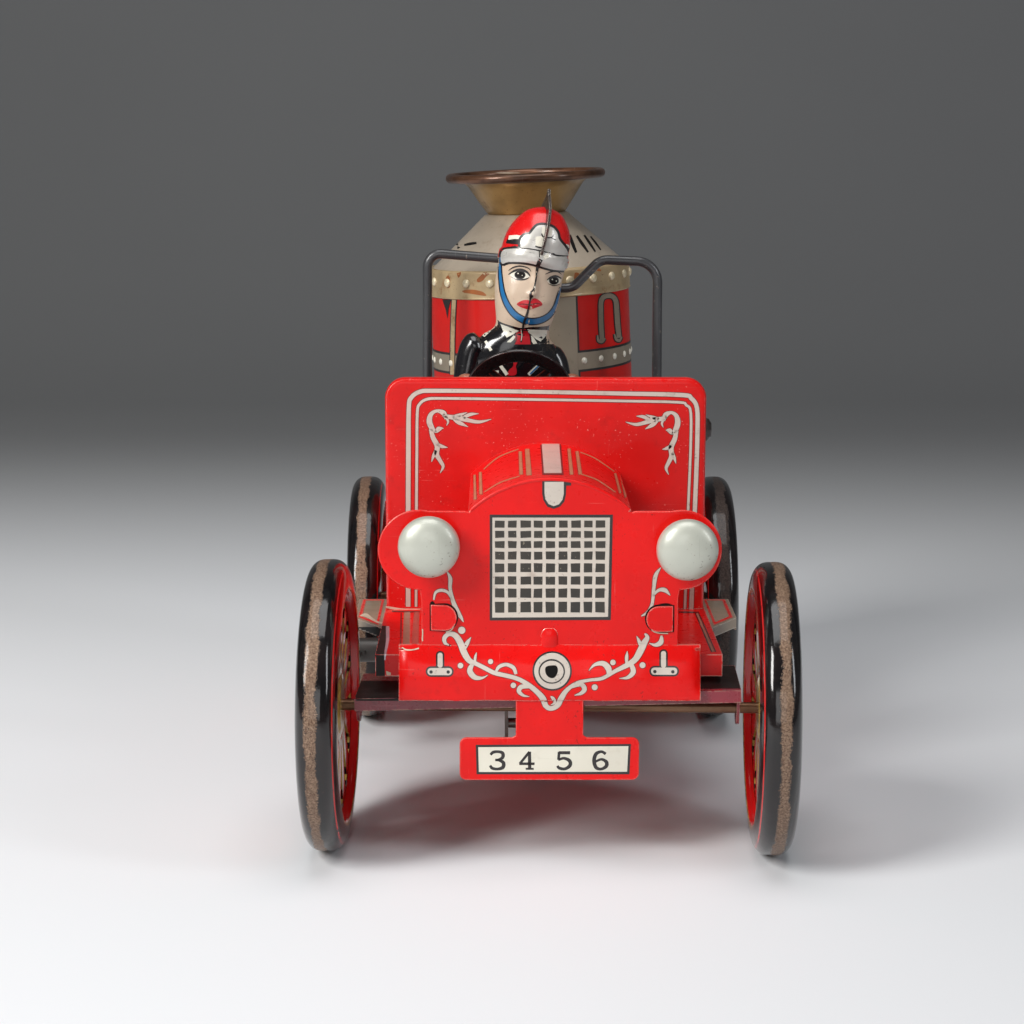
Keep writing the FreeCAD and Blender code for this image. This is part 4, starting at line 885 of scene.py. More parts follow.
# ------------------------------------------------------------------ headlamps
for side_name, lx, lz in (("left", -25.5, 69.1), ("right", 28.8, 68.5)):
    M = Matrix.Translation((lx / 1000, PLATE_Y / 1000, lz / 1000)) @ Matrix.Rotation(rad(90), 4, "X")
    R = 6.2
    cup = curve_pts([(0.0, 0.02), (R - 1.4, 0.02), (R - 0.7, 0.3), (R - 0.25, 1.2), (R - 0.12, 2.6), (R - 0.05, 4.3)], 4) + \
        curve_pts([(R - 0.5, 4.3), (R - 0.55, 2.0), (R - 0.95, 0.8), (R - 1.6, 0.45), (0.0, 0.45)], 4)
    v, f = lathe(cup, 96)
    make("headlamp_cup_shell_" + side_name, v, f, m_lamp_tin, "chassis", rep=("headlamp_cup_" + side_name,), M=M, smooth=50)
    o = [(R + 0.12, 3.45), (R + 0.3, 3.5), (R + 0.34, 3.8), (R + 0.26, 4.2), (R + 0.2, 4.9)]
    for i in range(1, 17):
        a = rad(90 * i / 16)
        o.append(((R + 0.2) * cos(a) ** 0.82 if i < 16 else 0.0, 4.9 + 2.7 * sin(a) ** 1.15))
    inn = [(0.0, 7.3)] + [((R + 0.02) * cos(rad(90 - 90 * i / 8)) ** 0.82 * 0.985, 4.7 + 2.55 * sin(rad(90 - 90 * i / 8)) ** 1.15) for i in range(1, 9)] + [(R + 0.04, 3.5)]
    v, f = lathe(o + inn, 96)
    make("headlamp_cap_shell_" + side_name, v, f, m_lamp, "chassis", rep=("headlamp_cap_" + side_name,), M=M, smooth=50)

# ------------------------------------------------------------------ handrail
RY, RR, RX, RT, RD = 30.3, 1.2, 29.0, 123.0, 114.7


def fillet(p0, p1, p2, r, n=10):
    p0, p1, p2 = Vector(p0), Vector(p1), Vector(p2)
    a, b = (p0 - p1).normalized(), (p2 - p1).normalized()
    half = a.angle(b) / 2
    d = r / math.tan(half)
    s, e = p1 + a * d, p1 + b * d
    c = p1 + (a + b).normalized() * (r / sin(half))
    v0, v1 = s - c, e - c
    ang = v0.angle(v1)
    out = []
    for i in range(n + 1):
        t = i / n
        out.append(c + (v0 * sin((1 - t) * ang) + v1 * sin(t * ang)) / sin(ang))
    return out


zh = RT - RR
P = [(-RX, RY, TRAY_Z), (-RX + 0.2, RY, zh + 1.7), (-8.3, RY, zh + 0.1), (-2.2, RY, RD), (7.6, RY, RD), (14.6, RY, zh), (RX, RY, zh - 0.6), (RX, RY, TRAY_Z)]
rads = [None, 3.4, 3.6, 3.6, 4.5, 4.5, 5.5, None]
path = []
for i in range(24):
    path.append(Vector(P[0]).lerp(Vector(P[1]), 0.93 * i / 24))
for i in range(1, 7):
    path += fillet(P[i - 1], P[i], P[i + 1], rads[i])
for i in range(24):
    path.append(Vector(P[6]).lerp(Vector(P[7]), 0.08 + 0.92 * i / 23))
path = [p + Vector((0.05 * sin(i * 0.33), 0.06 * sin(i * 0.21 + 1), 0)) if 5 < i < len(path) - 5 else p for i, p in enumerate(path)]
v, f = tube(path, RR, 24)
make("handrail_wire", v, f, m_wire, "chassis", rep=("handrail",), smooth=60)

# ------------------------------------------------------------------ boiler
BY = 58.3
LEAN = rad(-2.5)


def lean(p):
    x, y, z = p[0], p[1], p[2] - 46.0
    return Vector((x * cos(LEAN) + z * sin(LEAN), y, 46.0 - x * sin(LEAN) + z * cos(LEAN)))


def boiler_piece(name, prof, mat, rep=(), n=160, smooth=40, wob=0.0):
    v, f = lathe(prof, n)
    out = []
    for p in v:
        a = math.atan2(p[1], p[0])
        k = 1 + wob * (sin(3 * a + 1) + 0.6 * sin(5 * a)) / 26.0
        out.append(lean((p[0] * k, p[1] * k + BY, p[2])))
    return make(name, out, f, mat, "chassis", rep=rep, smooth=smooth)


shell = boiler_piece("boiler_shell_wall", [(26.0, 44.6), (26.0, 60.0), (26.0, 90.0), (26.0, 112.0), (26.0, 118.4), (25.5, 118.4), (25.5, 90.0), (25.5, 44.6)],
                     m_boil_red, rep=("boiler_shell",))
collar = boiler_piece("boiler_collar_band", curve_pts([(26.02, 111.9), (26.3, 111.85), (26.5, 112.1), (26.42, 112.6), (26.42, 115.0), (26.42, 117.9), (26.35, 118.6),
                                                      (26.1, 119.0), (25.6, 119.1), (24.95, 119.0)], 3) + [(24.95, 118.5), (26.0, 118.5), (26.0, 112.0)],
                      m_collar, rep=("boiler_collar",))
cone = boiler_piece("boiler_cone", [(22.0, 118.05)] + [(25.3, 118.1), (25.35, 118.5), (25.2, 118.75), (24.9, 118.95), (20.0, 123.45), (15.0, 128.1), (10.9, 131.95), (10.4, 132.15), (9.6, 132.2),
                                                        (9.6, 131.75), (10.2, 131.7), (24.0, 119.0), (24.0, 118.4), (22.0, 118.4)],
                    m_cone, rep=("boiler_shoulder",), smooth=30)
fun_o = curve_pts([(9.7, 132.1), (10.1, 132.3), (10.5, 132.8), (11.6, 134.4), (13.0, 136.5), (14.3, 138.5), (15.2, 139.7), (16.5, 140.6), (18.7, 141.3)], 4)
fun_i = curve_pts([(18.4, 141.75), (16.2, 141.05), (14.7, 140.0), (13.8, 138.8), (12.5, 136.8), (11.1, 134.6), (9.95, 132.95), (9.6, 132.65)], 4)
boiler_piece("funnel_cup", fun_o + fun_i + [(0.0, 132.65), (0.0, 132.2)], m_funnel, rep=("funnel",), wob=0.3)
bead = [(19.65 + 1.15 * cos(rad(a)), 141.8 + 1.15 * sin(rad(a))) for a in range(-160, 190, 15)]
boiler_piece("funnel_rolled_rim", bead, m_funnel_rim, wob=0.3, smooth=60)
rv, rf = [], []
for i in range(24):
    a = rad(15.0 * i + 7.5)
    base = len(rv)
    for ring in range(6):
        t = ring / 5
        for k in range(16):
            b = 2 * pi * k / 16
            rr_ = 1.15 * sin(pi / 2 * t)
            out = 0.62 * cos(pi / 2 * t)
            ux, uz = rr_ * cos(b), rr_ * sin(b)
            R = 26.44 + (out if ring < 5 else -0.3)
            rv.append(lean((R * cos(a) - ux * sin(a), BY + R * sin(a) + ux * cos(a), 116.0 + uz)))
    for ring in range(5):
        for k in range(16):
            k2 = (k + 1) % 16
            rf.append((base + ring * 16 + k, base + (ring + 1) * 16 + k, base + (ring + 1) * 16 + k2, base + ring * 16 + k2))
    rf.append(tuple(base + 80 + k for k in range(16)))
make("collar_rivet_heads", rv, rf, m_rivet, "chassis", rep=("collar_rivets",), smooth=60)

# ------------------------------------------------------------------ driver
DX, DY, YAW, LN = -8.6, 14.3, rad(10.0), rad(9.5)


def posed(p):
    x, y, z = p[0] - DX, p[1] - DY, p[2]
    x, y = x * cos(YAW) - y * sin(YAW), x * sin(YAW) + y * cos(YAW)
    x, z = x + 0.9, z - 80.0
    return Vector((x * cos(LN) + z * sin(LN) + DX - 0.9, y + DY, 80.0 - x * sin(LN) + z * cos(LN)))


def local_z(px, py, tree):
    h = tree.ray_cast(CAM, ray(px, py))[0]
    x, z = h.x - (DX - 0.9), h.z - 80.0
    return 80.0 + x * sin(LN) + z * cos(LN)


FIG = [(64.0, 9.0, 5.2, 2.2), (70.0, 9.2, 5.25, 2.1), (76.0, 9.5, 5.3, 2.0), (84.0, 10.0, 5.6, 1.5), (92.0, 10.8, 6.0, 0.8),
       (97.0, 11.4, 6.3, 0.4), (100.0, 11.0, 6.3, 0.2), (102.0, 10.2, 6.1, 0.1), (103.6, 8.9, 5.9, 0.0), (104.8, 7.5, 5.7, -0.1), (105.8, 6.8, 5.6, -0.2),
       (107.0, 6.6, 5.9, -0.6), (109.0, 6.9, 6.6, -0.8), (112.0, 7.5, 7.3, -0.7), (116.0, 8.0, 7.6, -0.4), (121.0, 8.1, 7.7, 0.0), (127.0, 8.1, 8.0, 0.0),
       (131.0, 7.2, 7.2, 0.2), (134.4, 5.0, 5.0, 0.3), (135.8, 3.0, 3.1, 0.3), (136.5, 0.6, 0.7, 0.3)]
BEND = [(60.0, -0.6), (92.0, -1.0), (102.0, -1.3), (106.0, -1.0), (112.0, -1.25), (118.0, -1.35), (122.0, -1.2), (127.0, -0.9), (132.0, -0.4), (137.0, 0.0)]


def sway(z):
    for (z0, d0), (z1, d1) in zip(BEND, BEND[1:]):
        if z <= z1:
            t = max(0.0, (z - z0) / (z1 - z0))
            return d0 + (d1 - d0) * t
    return 0.0


rows = curve_pts(FIG, 10)
PX_FEAT = [  # px, py, rx, ry, height
    (535.0, 283.0, 3.2, 10.0, 0.75), (531.5, 294.0, 4.5, 3.5, 0.9), (530.0, 304.5, 12.0, 3.4, 0.35), (525.0, 318.0, 9.0, 5.0, 0.45),
    (520.0, 275.5, 9.0, 5.0, -0.30), (554.0, 280.5, 8.0, 5.0, -0.30), (512.0, 296.0, 8.0, 8.0, 0.28), (551.0, 300.0, 8.0, 8.0, 0.28)]


def figure_half(side, inset):
    v = []
    n = 72
    for z, a, b, dy in rows:
        for k in range(n + 1):
            ph = -pi / 2 + pi * k / n           # front centre to rear centre round one side
            x = side * max(a - inset, 0.05) * cos(ph)
            y = max(b - inset, 0.05) * sin(ph)
            p = posed((DX + x + side * 0.03 + sway(z), DY + dy + y, z - (inset if z > 130 else 0)))
            if z > 104 and ph < 0.3:
                px, py = to_px(p)
                h = 0.0
                for fx, fy, rx, ry, hh in PX_FEAT:
                    h += hh * math.exp(-((px - fx) / rx) ** 2 - ((py - fy) / ry) ** 2)
                # brim band stands proud of the face
                line = 256.0 + (px - 503.0) * 0.155
                top, bot = line - 8.5, line + 4.5
                h += 0.45 * max(0.0, min(1.0, (py - top) / 2.0)) * max(0.0, min(1.0, (bot - py) / 1.6))
                nrm = Vector((side * cos(ph), sin(ph) * 1.0, 0)).normalized()
                q = posed((DX + nrm.x, DY + nrm.y, 0)) - posed((DX, DY, 0))
                p = p + q * h
            v.append(p)
    return v, n + 1


fig_obs = []
for side_name, side in (("left", -1), ("right", 1)):
    vo, m = figure_half(side, 0.0)
    vi, _ = figure_half(side, 0.5)
    nr = len(rows)
    N = len(vo)
    faces, ids = [], []
    for i in range(nr - 1):
        z = rows[i][0]
        for k in range(m - 1):
            q = (i * m + k, i * m + k + 1, (i + 1) * m + k + 1, (i + 1) * m + k)
            faces.append(q)
            ids.append(1 if z < 103.9 else (0 if z < 122.3 else 2))
            faces.append(tuple(N + t for t in reversed(q)))
            ids.append(3)
        for k in (0, m - 1):
            faces.append((i * m + k, (i + 1) * m + k, N + (i + 1) * m + k, N + i * m + k))
            ids.append(3)
    for i in (0, nr - 1):
        for k in range(m - 1):
            faces.append((i * m + k, i * m + k + 1, N + i * m + k + 1, N + i * m + k))
            ids.append(3)
    ob = make("driver_shell_" + side_name, vo + vi, faces, [m_face, m_coat, m_helmet, m_steel], "chassis",
              rep=("driver_half_" + side_name,), mat_ids=ids, smooth=60)
    fig_obs.append(ob)
# seat trim: drop what is below the bench
for ob in fig_obs:
    bm = bmesh.new()
    bm.from_mesh(ob.data)
    bmesh.ops.bisect_plane(bm, geom=bm.verts[:] + bm.edges[:] + bm.faces[:], plane_co=(0, 0, 0.0621), plane_no=(0, 0, -1), clear_outer=True)
    bm.to_mesh(ob.data)
    bm.free()
comb_y = [(-8.4, 125.2), (-8.9, 127.0), (-8.2, 131.5), (-6.2, 135.4), (-3.2, 138.2), (-1.0, 139.6), (0.4, 141.0), (1.2, 139.4), (3.2, 137.9),
          (6.4, 135.0), (8.6, 130.5), (8.9, 126.5), (8.2, 125.5), (6.6, 129.0), (3.4, 133.2), (0.4, 135.0), (-2.9, 133.6), (-6.2, 129.4)]
comb = curve_pts(comb_y[:13], 4) + [comb_y[i] for i in range(13, 18)]
cv = [(-0.36, DY + y, z) for y, z in comb] + [(0.36, DY + y, z) for y, z in comb]
nc = len(comb)
cf = [tuple(range(nc)), tuple(range(2 * nc - 1, nc - 1, -1))] + [(i, nc + i, nc + (i + 1) % nc, (i + 1) % nc) for i in range(nc)]
m_comb = tin("comb_worn", lin(52, 40, 38), 0.26, metal=0.4, coat=0.3, var=0.2, edge=1.0, edge_col=lin(215, 205, 190), seed=36,
             grime=0.4, grime_col=lin(150, 30, 24), scr=0.5, scr_col=lin(200, 180, 160))
make("helmet_comb", [posed((DX + p[0] + sway(p[2]), p[1], p[2])) for p in cv], cf, m_comb, "chassis", bevel=0.15)
fig_tree = tree_of(*fig_obs)

# arms and gloved hands
SC, nS = Vector((-6.0, 2.3, 92.0)), Vector((0, cos(rad(31.0)), sin(rad(31.0))))
arm_obs = []
for side_name, sd in (("left", -1), ("right", 1)):
    sh = posed((DX + sd * 11.0 - (1.2 if sd < 0 else 2.6), DY + 0.2, 99.2))
    rim = SC + Vector((sd * 12.8, 0, 0)) + nS * 4.0
    elbow = Vector(((sh.x + rim.x) / 2 + (-1.3 if sd < 0 else -0.7), (sh.y + rim.y) / 2 + 1.2, 86.5))
    top = sh + Vector((-sd * 2.4, 0, 2.6))
    pts = curve_pts([tuple(top), tuple(sh), tuple(sh.lerp(elbow, 0.5) + Vector((sd * 0.5, 0.3, 0))), tuple(elbow), tuple(elbow.lerp(rim, 0.5)), tuple(rim)], 8)

    def rfn(t):
        if t < 0.12:
            return 1.4 + 2.1 * (t / 0.12) ** 0.5
        return 3.5 - 1.2 * (t - 0.12)
    v, f = tube(pts, rfn, 28)
    arm_obs.append(make("driver_sleeve_" + side_name, v, f, m_coat, "chassis", rep=("driver_arm_" + side_name,), smooth=60))
    hv, hf = lathe([(max(0.002, 2.3 * sin(pi * i / 12)), -2.3 * cos(pi * i / 12)) for i in range(13)] + [(0.002, 0.0)], 24)
    out = [(rim.x + p[0] * 1.0, rim.y - 0.5 + p[1] * 0.8, rim.z + 0.2 + p[2] * 0.75) for p in hv]
    make("driver_hand_" + side_name, out, hf, m_hand, "chassis", smooth=60)
leg_pts = [(10.4, 62.0), (-6.3, 62.0), (-8.6, 58.0), (-8.6, 43.5), (-17.0, 43.5), (-17.3, 45.5), (-15.2, 47.4), (-14.2, 49.0),
           (-14.6, 64.0), (-13.0, 67.6), (-10.5, 69.2), (10.4, 69.4)]
lv, lf = [], []
for sd in (-1, 1):
    x = DX + 0.6 + sd * 4.9
    n = len(leg_pts)
    b = len(lv)
    lv += [(x - 3.1, y, z) for y, z in leg_pts] + [(x + 3.1, y, z) for y, z in leg_pts]
    lf += [tuple(b + i for i in range(n)), tuple(b + 2 * n - 1 - i for i in range(n))] + [(b + i, b + n + i, b + n + (i + 1) % n, b + (i + 1) % n) for i in range(n)]
make("driver_trousers", lv, lf, m_coat, "chassis", rep=("driver_legs",), bevel=0.9)

# ------------------------------------------------------------------ steering wheel
hub_lo = SC - nS * 1.2
MS = Matrix.Translation(hub_lo / 1000.0) @ Matrix.Rotation(rad(-59.0), 4, "X")
ring = curve_pts([(13.0, 0.25), (13.02, 0.75), (12.6, 1.15), (12.0, 1.2), (11.2, 1.12), (9.9, 1.1), (9.55, 0.95), (9.5, 0.55), (9.65, 0.15), (10.5, 0.0), (12.2, 0.0), (12.8, 0.05)], 3, True)
v, f = lathe(ring, 128)
make("steering_ring", v, f, m_wheel_black, "steering", rep=("steering_wheel",), M=MS, smooth=60)
hub = [(0.0, 0.0), (2.6, 0.0), (2.7, 0.5), (2.6, 1.5), (2.2, 1.85), (0.0, 1.95)]
v1 = lathe(hub, 40)
parts = [v1]
for a in (45, 135, 225, 315):
    w0, w1 = 1.1, 0.8
    bx = []
    for x in (2.0, 4.0, 6.0, 8.0, 10.0):
        w = w0 + (w1 - w0) * x / 10
        for y, z in ((-w, 0.2), (w, 0.2), (w * 0.7, 0.95), (-w * 0.7, 0.95)):
            bx.append((x * cos(rad(a)) - y * sin(rad(a)), x * sin(rad(a)) + y * cos(rad(a)), z))
    bf = []
    for i in range(4):
        for k in range(4):
            bf.append((i * 4 + k, (i + 1) * 4 + k, (i + 1) * 4 + (k + 1) % 4, i * 4 + (k + 1) % 4))
    bf += [(0, 1, 2, 3), (19, 18, 17, 16)]
    parts.append((bx, bf))
v, f = join(*parts)
make("steering_spokes", v, f, m_wheel_black, "steering", M=MS, smooth=40)

# ------------------------------------------------------------------ art: dashboard
L_OUT = [(133, 1118, 22), (133, 900, 22), (133, 655, 22), (134, 400, 22), (136, 180, 20), (148, 130, 20), (190, 102, 20), (260, 98, 19), (550, 100, 18), (840, 105, 18), (1140, 111, 19),
         (1425, 118, 20), (1470, 134, 20), (1497, 180, 20), (1499, 300, 20), (1494, 480, 20), (1487, 655, 20), (1478, 900, 20), (1470, 1135, 20)]
L_IN = [(170, 1118, 12), (171, 900, 12), (172, 640, 13), (174, 400, 13), (176, 205, 13), (188, 160, 13), (225, 137, 13), (300, 134, 12), (560, 137, 12), (840, 141, 12), (1130, 146, 12),
        (1405, 152, 12), (1446, 166, 12), (1468, 205, 12), (1466, 400, 12), (1456, 640, 12), (1448, 900, 12), (1440, 1130, 12)]
SCR = [[(308, 232, 6), (302, 205, 24), (270, 193, 14), (242, 208, 20), (233, 240, 26), (244, 272, 24), (266, 292, 10), (290, 278, 6)],
       [(262, 296, 8), (275, 275, 14), (300, 276, 3)],
       [(296, 212, 14), (330, 222, 20), (372, 226, 24), (420, 238, 18), (470, 245, 14), (526, 232, 2)],
       [(340, 222, 12), (372, 214, 16), (412, 200, 2)], [(392, 226, 14), (425, 210, 16), (466, 206, 2)],
       [(345, 228, 12), (374, 248, 20), (416, 268, 2)], [(312, 222, 12), (322, 244, 10), (314, 262, 2)],
       [(240, 278, 18), (250, 318, 22), (270, 358, 24), (268, 398, 22), (284, 428, 18), (298, 456, 14), (284, 486, 2)],
       [(262, 345, 12), (290, 360, 16), (320, 366, 2)], [(264, 380, 14), (252, 408, 14), (243, 434, 2)]]
SCR_R = [[(1375 - (x - 270) * 0.84, y + 8 + (x - 270) * 0.02, w) for x, y, w in s] for s in SCR]
print_on("dash_line_outline", [stroke(s, 4, 1, 3) for s in (L_OUT, L_IN)] + [stroke(s, 5, 1, 2.5) for s in SCR + SCR_R], A, m_line, "chassis", y=DASH_Y, level=0)
print_on("dash_lines", [stroke(s, 4) for s in (L_OUT, L_IN)], A, m_silver, "chassis", y=DASH_Y, level=1)
print_on("dash_scrolls", [stroke(s, 5) for s in SCR + SCR_R], A, m_silver, "chassis", y=DASH_Y, level=1)

# ------------------------------------------------------------------ art: bonnet top
hood_tree = tree_of(hood)
tan = [[(447, 495, 10), (450, 612, 12)], [(474, 482, 12), (477, 588, 14)], [(662, 385, 14), (667, 495, 16)], [(695, 373, 20), (704, 498, 24)],
       [(892, 372, 14), (905, 495, 16)], [(930, 384, 14), (946, 494, 16)], [(1110, 488, 10), (1135, 582, 10)], [(1138, 505, 8), (1160, 602, 8)],
       [(490, 470, 4), (560, 412, 5), (655, 374, 4)], [(494, 576, 4), (570, 531, 5), (660, 502, 4)], [(945, 388, 4), (1020, 420, 5), (1106, 480, 4)],
       [(950, 492, 4), (1030, 522, 5), (1112, 578, 4)]]
print_on("bonnet_panel_outline", [stroke(s, 5, 1, 2) for s in tan[:8]], A, m_line, "chassis", trees=hood_tree, level=0, grid=5)
print_on("bonnet_panel_lines", [stroke(s, 5) for s in tan], A, m_tan, "chassis", trees=hood_tree, level=1, grid=5)
strip = [(764, 350), (846, 350), (858, 488), (775, 488)]
print_on("bonnet_strip_outline", [[(756, 342), (854, 342), (867, 496), (767, 496)]], A, m_ink_black_and_shade, "chassis", trees=hood_tree, level=1, grid=5)
print_on("bonnet_strip", [strip], A, m_silver, "chassis", trees=hood_tree, level=2, grid=5)

# ------------------------------------------------------------------ art: front plate
colsT = [(543, 588), (605, 645), (664, 714), (727, 768), (784, 828), (845, 887), (903, 948), (965, 1005), (1020, 1065)]
rowsT = [(711, 744), (760, 792), (808, 840), (857, 895), (913, 955), (975, 1013), (1032, 1075), (1095, 1145)]
print_on("grille_border", [[(518, 683), (1100, 683), (1090, 1181), (518, 1183)]], A, m_ink_black_and_shade, "chassis", y=PLATE_Y, level=0)
print_on("grille_panel", [[(531, 697), (1086, 697), (1077, 1166), (530, 1169)]], A, m_silver, "chassis", y=PLATE_Y, level=1)
sq = []
for ra_, rb in rowsT:
    for ca, cb in colsT:
        def s_(x, y):
            return (x - (y - 711) * 0.010 * (x - 530) / 535.0 * 1.0, y)
        j = lambda: rnd.uniform(-1.3, 1.3)
        sq.append([s_(ca + j(), ra_ + j()), s_(cb + j(), ra_ + j()), s_(cb + j(), rb + j()), s_(ca + j(), rb + j())])
print_on("grille_squares", sq, A, m_grille, "chassis", y=PLATE_Y, level=2)
shield = curve_pts([(777, 528), (868, 528), (869, 600), (852, 632), (820, 645), (792, 632), (779, 600)], 4, True)
shield = [(777, 528), (868, 528), (868, 585), (862, 612), (845, 634), (820, 643), (796, 633), (781, 610), (777, 582)]
print_on("shield_outline", [[(766, 520), (902, 522), (902, 546), (880, 546), (878, 590), (870, 622), (850, 645), (820, 656), (790, 645), (772, 615), (766, 585)]], A, m_ink_black_and_shade, "chassis", y=PLATE_Y, level=0)
print_on("shield", [shield], A, m_silver, "chassis", y=PLATE_Y, level=1)

vines = [[(318, 953, 4), (332, 985, 18), (331, 1030, 15), (344, 1088, 18), (364, 1140, 24), (384, 1170, 14), (394, 1190, 3)],
         [(254, 1086, 6), (262, 1052, 12), (290, 1040, 14), (322, 1052, 12), (344, 1092, 8)],
         [(1326, 933, 4), (1302, 970, 18), (1293, 1030, 16), (1286, 1100, 14), (1270, 1140, 18), (1234, 1162, 4)],
         [(1288, 1066, 10), (1316, 1040, 14), (1346, 1040, 20), (1370, 1064, 3)]]


def a2c(s):
    return [(x, y - (600 - 370) * 4.723, w) for x, y, w in s]


vines = [a2c(s) for s in vines]
vines += [[(336, 216, 3), (310, 206, 14), (304, 180, 20), (326, 160, 20), (356, 168, 26), (380, 204, 30), (398, 250, 30), (422, 286, 26), (456, 302, 20), (496, 322, 20), (540, 344, 20), (590, 356, 20), (650, 372, 20),
           (700, 400, 22), (742, 434, 24), (770, 466, 28), (782, 498, 24), (806, 512, 22), (838, 498, 24), (856, 464, 26), (882, 426, 20), (930, 392, 16), (990, 378, 14), (1050, 370, 16), (1110, 336, 18), (1170, 306, 24),
           (1206, 280, 28), (1230, 240, 32), (1246, 206, 30), (1262, 176, 20), (1250, 158, 6)],
          [(396, 240, 10), (410, 206, 20), (430, 175, 2)], [(438, 300, 16), (424, 334, 26), (446, 364, 24), (482, 368, 12), (510, 354, 2)],
          [(448, 296, 10), (450, 270, 12), (456, 248, 2)], [(546, 342, 10), (562, 316, 16), (596, 305, 16), (630, 320, 18), (642, 350, 14)],
          [(704, 410, 14), (668, 410, 22), (656, 430, 20), (676, 450, 12), (706, 456, 2)],
          [(1078, 356, 14), (1080, 326, 28), (1054, 300, 24), (1014, 306, 14), (986, 334, 2)],
          [(1188, 308, 20), (1196, 340, 24), (1170, 366, 16), (1130, 370, 2)], [(1164, 302, 10), (1165, 270, 16), (1168, 242, 2)],
          [(1232, 218, 14), (1224, 196, 16), (1212, 170, 2)], [(1272, 204, 3), (1300, 213, 16), (1326, 200, 24), (1330, 168, 10)],
          [(902, 412, 12), (948, 398, 20), (966, 420, 22), (950, 440, 16), (918, 450, 2)],
          [(806, 455, 6), (818, 466, 16), (826, 484, 12), (806, 496, 3)]]
dots = [blob(386, 143, 17), blob(380, 310, 13), blob(522, 291, 12), blob(630, 403, 13), blob(1100, 295, 13), blob(1240, 308, 14), blob(1014, 412, 14)]
plate_tree = tree_of(bpy.data.objects["front_plate_upper"], skirt, bpy.data.objects["number_plate"], bpy.data.objects["crank_rib"])
print_on("vine_outline", [stroke(s, 5, 1, 3) for s in vines] + [grown(d, 3) for d in dots], C, m_line, "chassis", trees=plate_tree, level=0, grid=4)
print_on("vine_scrolls", [stroke(s, 5) for s in vines] + dots, C, m_silver, "chassis", trees=plate_tree, level=1, grid=4)
print_on("crank_outline", [blob(813, 335, 93, n=40)], C, m_ink_black_and_shade, "chassis", trees=plate_tree, level=1, grid=4)
print_on("crank_ring", [blob(813, 335, 85, n=40)], C, m_silver, "chassis", trees=plate_tree, level=2, grid=4)
print_on("crank_line", [blob(811, 337, 63, 58, n=36)], C, m_ink_black_and_shade, "chassis", trees=plate_tree, level=3, grid=4)
print_on("crank_inner", [blob(811, 338, 56, 51, n=36)], C, m_silver, "chassis", trees=plate_tree, level=4, grid=4)
# Painted shade in the crank hole.
print_on("crank_hole", [curve_pts([(785, 315), (830, 310), (840, 335), (825, 365), (800, 366), (782, 345)], 5, True)], C, m_hole_shade, "chassis", trees=plate_tree, level=5, grid=4)
pill = []
for cx, cy, w, vx, vt, vb in ((282, 338, 62, 284, 246, 320), (1342, 336, 66, 1339, 238, 320)):
    pill.append((cx, cy, w, vx, vt, vb))


def pill_poly(x0, x1, y0, y1, r):
    return [(x, y) for x, y in round_rect(x0, x1, y0, y1, r, 5)]


print_on("shackle_outline", [pill_poly(cx - w - 4, cx + w + 4, cy - 25, cy + 25, 24) for cx, cy, w, *_ in pill] + [pill_poly(vx - 20, vx + 20, vt - 5, cy, 19) for cx, cy, w, vx, vt, vb in pill],
         C, m_ink_black_and_shade, "chassis", trees=plate_tree, level=0, grid=4)
print_on("shackle_fill", [pill_poly(cx - w + 4, cx + w - 4, cy - 17, cy + 17, 16) for cx, cy, w, *_ in pill] + [pill_poly(vx - 12, vx + 12, vt + 3, vb, 11) for cx, cy, w, vx, vt, vb in pill],
         C, m_silver, "chassis", trees=plate_tree, level=1, grid=4)
print_on("shackle_dots", [blob(x, y, 8) for x, y in ((241, 340), (322, 340), (1298, 338), (1383, 339))], C, m_ink_black_and_shade, "chassis", trees=plate_tree, level=2, grid=4)

print_on("number_border", [[(452, 684), (1185, 680), (1178, 823), (456, 823)]], C, m_ink_black_and_shade, "chassis", y=YB, level=0)
print_on("number_panel", [[(464, 695), (1173, 690), (1167, 811), (467, 812)]], C, m_white_and_highlight, "chassis", y=YB, level=1)
DIG = {"3": [[(-30, -26, 12), (-18, -38, 14), (6, -41, 13), (27, -34, 16), (27, -14, 16), (8, -3, 12), (-8, -2, 11)],
             [(-8, -2, 11), (12, 0, 13), (31, 12, 17), (28, 33, 17), (4, 41, 13), (-22, 37, 14), (-32, 24, 12)]],
       "4": [[(12, -41, 15), (13, 40, 16)], [(12, -40, 12), (-34, 16, 12)], [(-36, 16, 12), (36, 16, 12)], [(-6, 40, 9), (32, 40, 9)]],
       "5": [[(30, -36, 15), (-24, -36, 14)], [(-22, -40, 13), (-25, -3, 13)], [(-26, -2, 11), (0, -10, 13), (27, 2, 17), (29, 24, 17), (6, 40, 14), (-20, 37, 14), (-31, 26, 12)]],
       "6": [[(26, -30, 14), (6, -41, 13), (-20, -30, 17), (-29, 2, 18), (-20, 33, 17), (4, 41, 13), (28, 28, 17), (29, 8, 17), (6, -5, 12), (-22, 6, 11)]]}
dig = []
for ch, cx in (("3", 552), ("4", 694), ("5", 868), ("6", 1040)):
    for s in DIG[ch]:
        dig.append(stroke([(cx + x, 757 + y, w) for x, y, w in s], 6))
print_on("number_digits", dig, C, m_ink_black_and_shade, "chassis", y=YB, level=2)

# ------------------------------------------------------------------ art: driver
ft = fig_tree
G = 3.0


def fig_art(name, polys, mat, level):
    print_on(name, polys, B, mat, "chassis", trees=ft, level=level, grid=G)


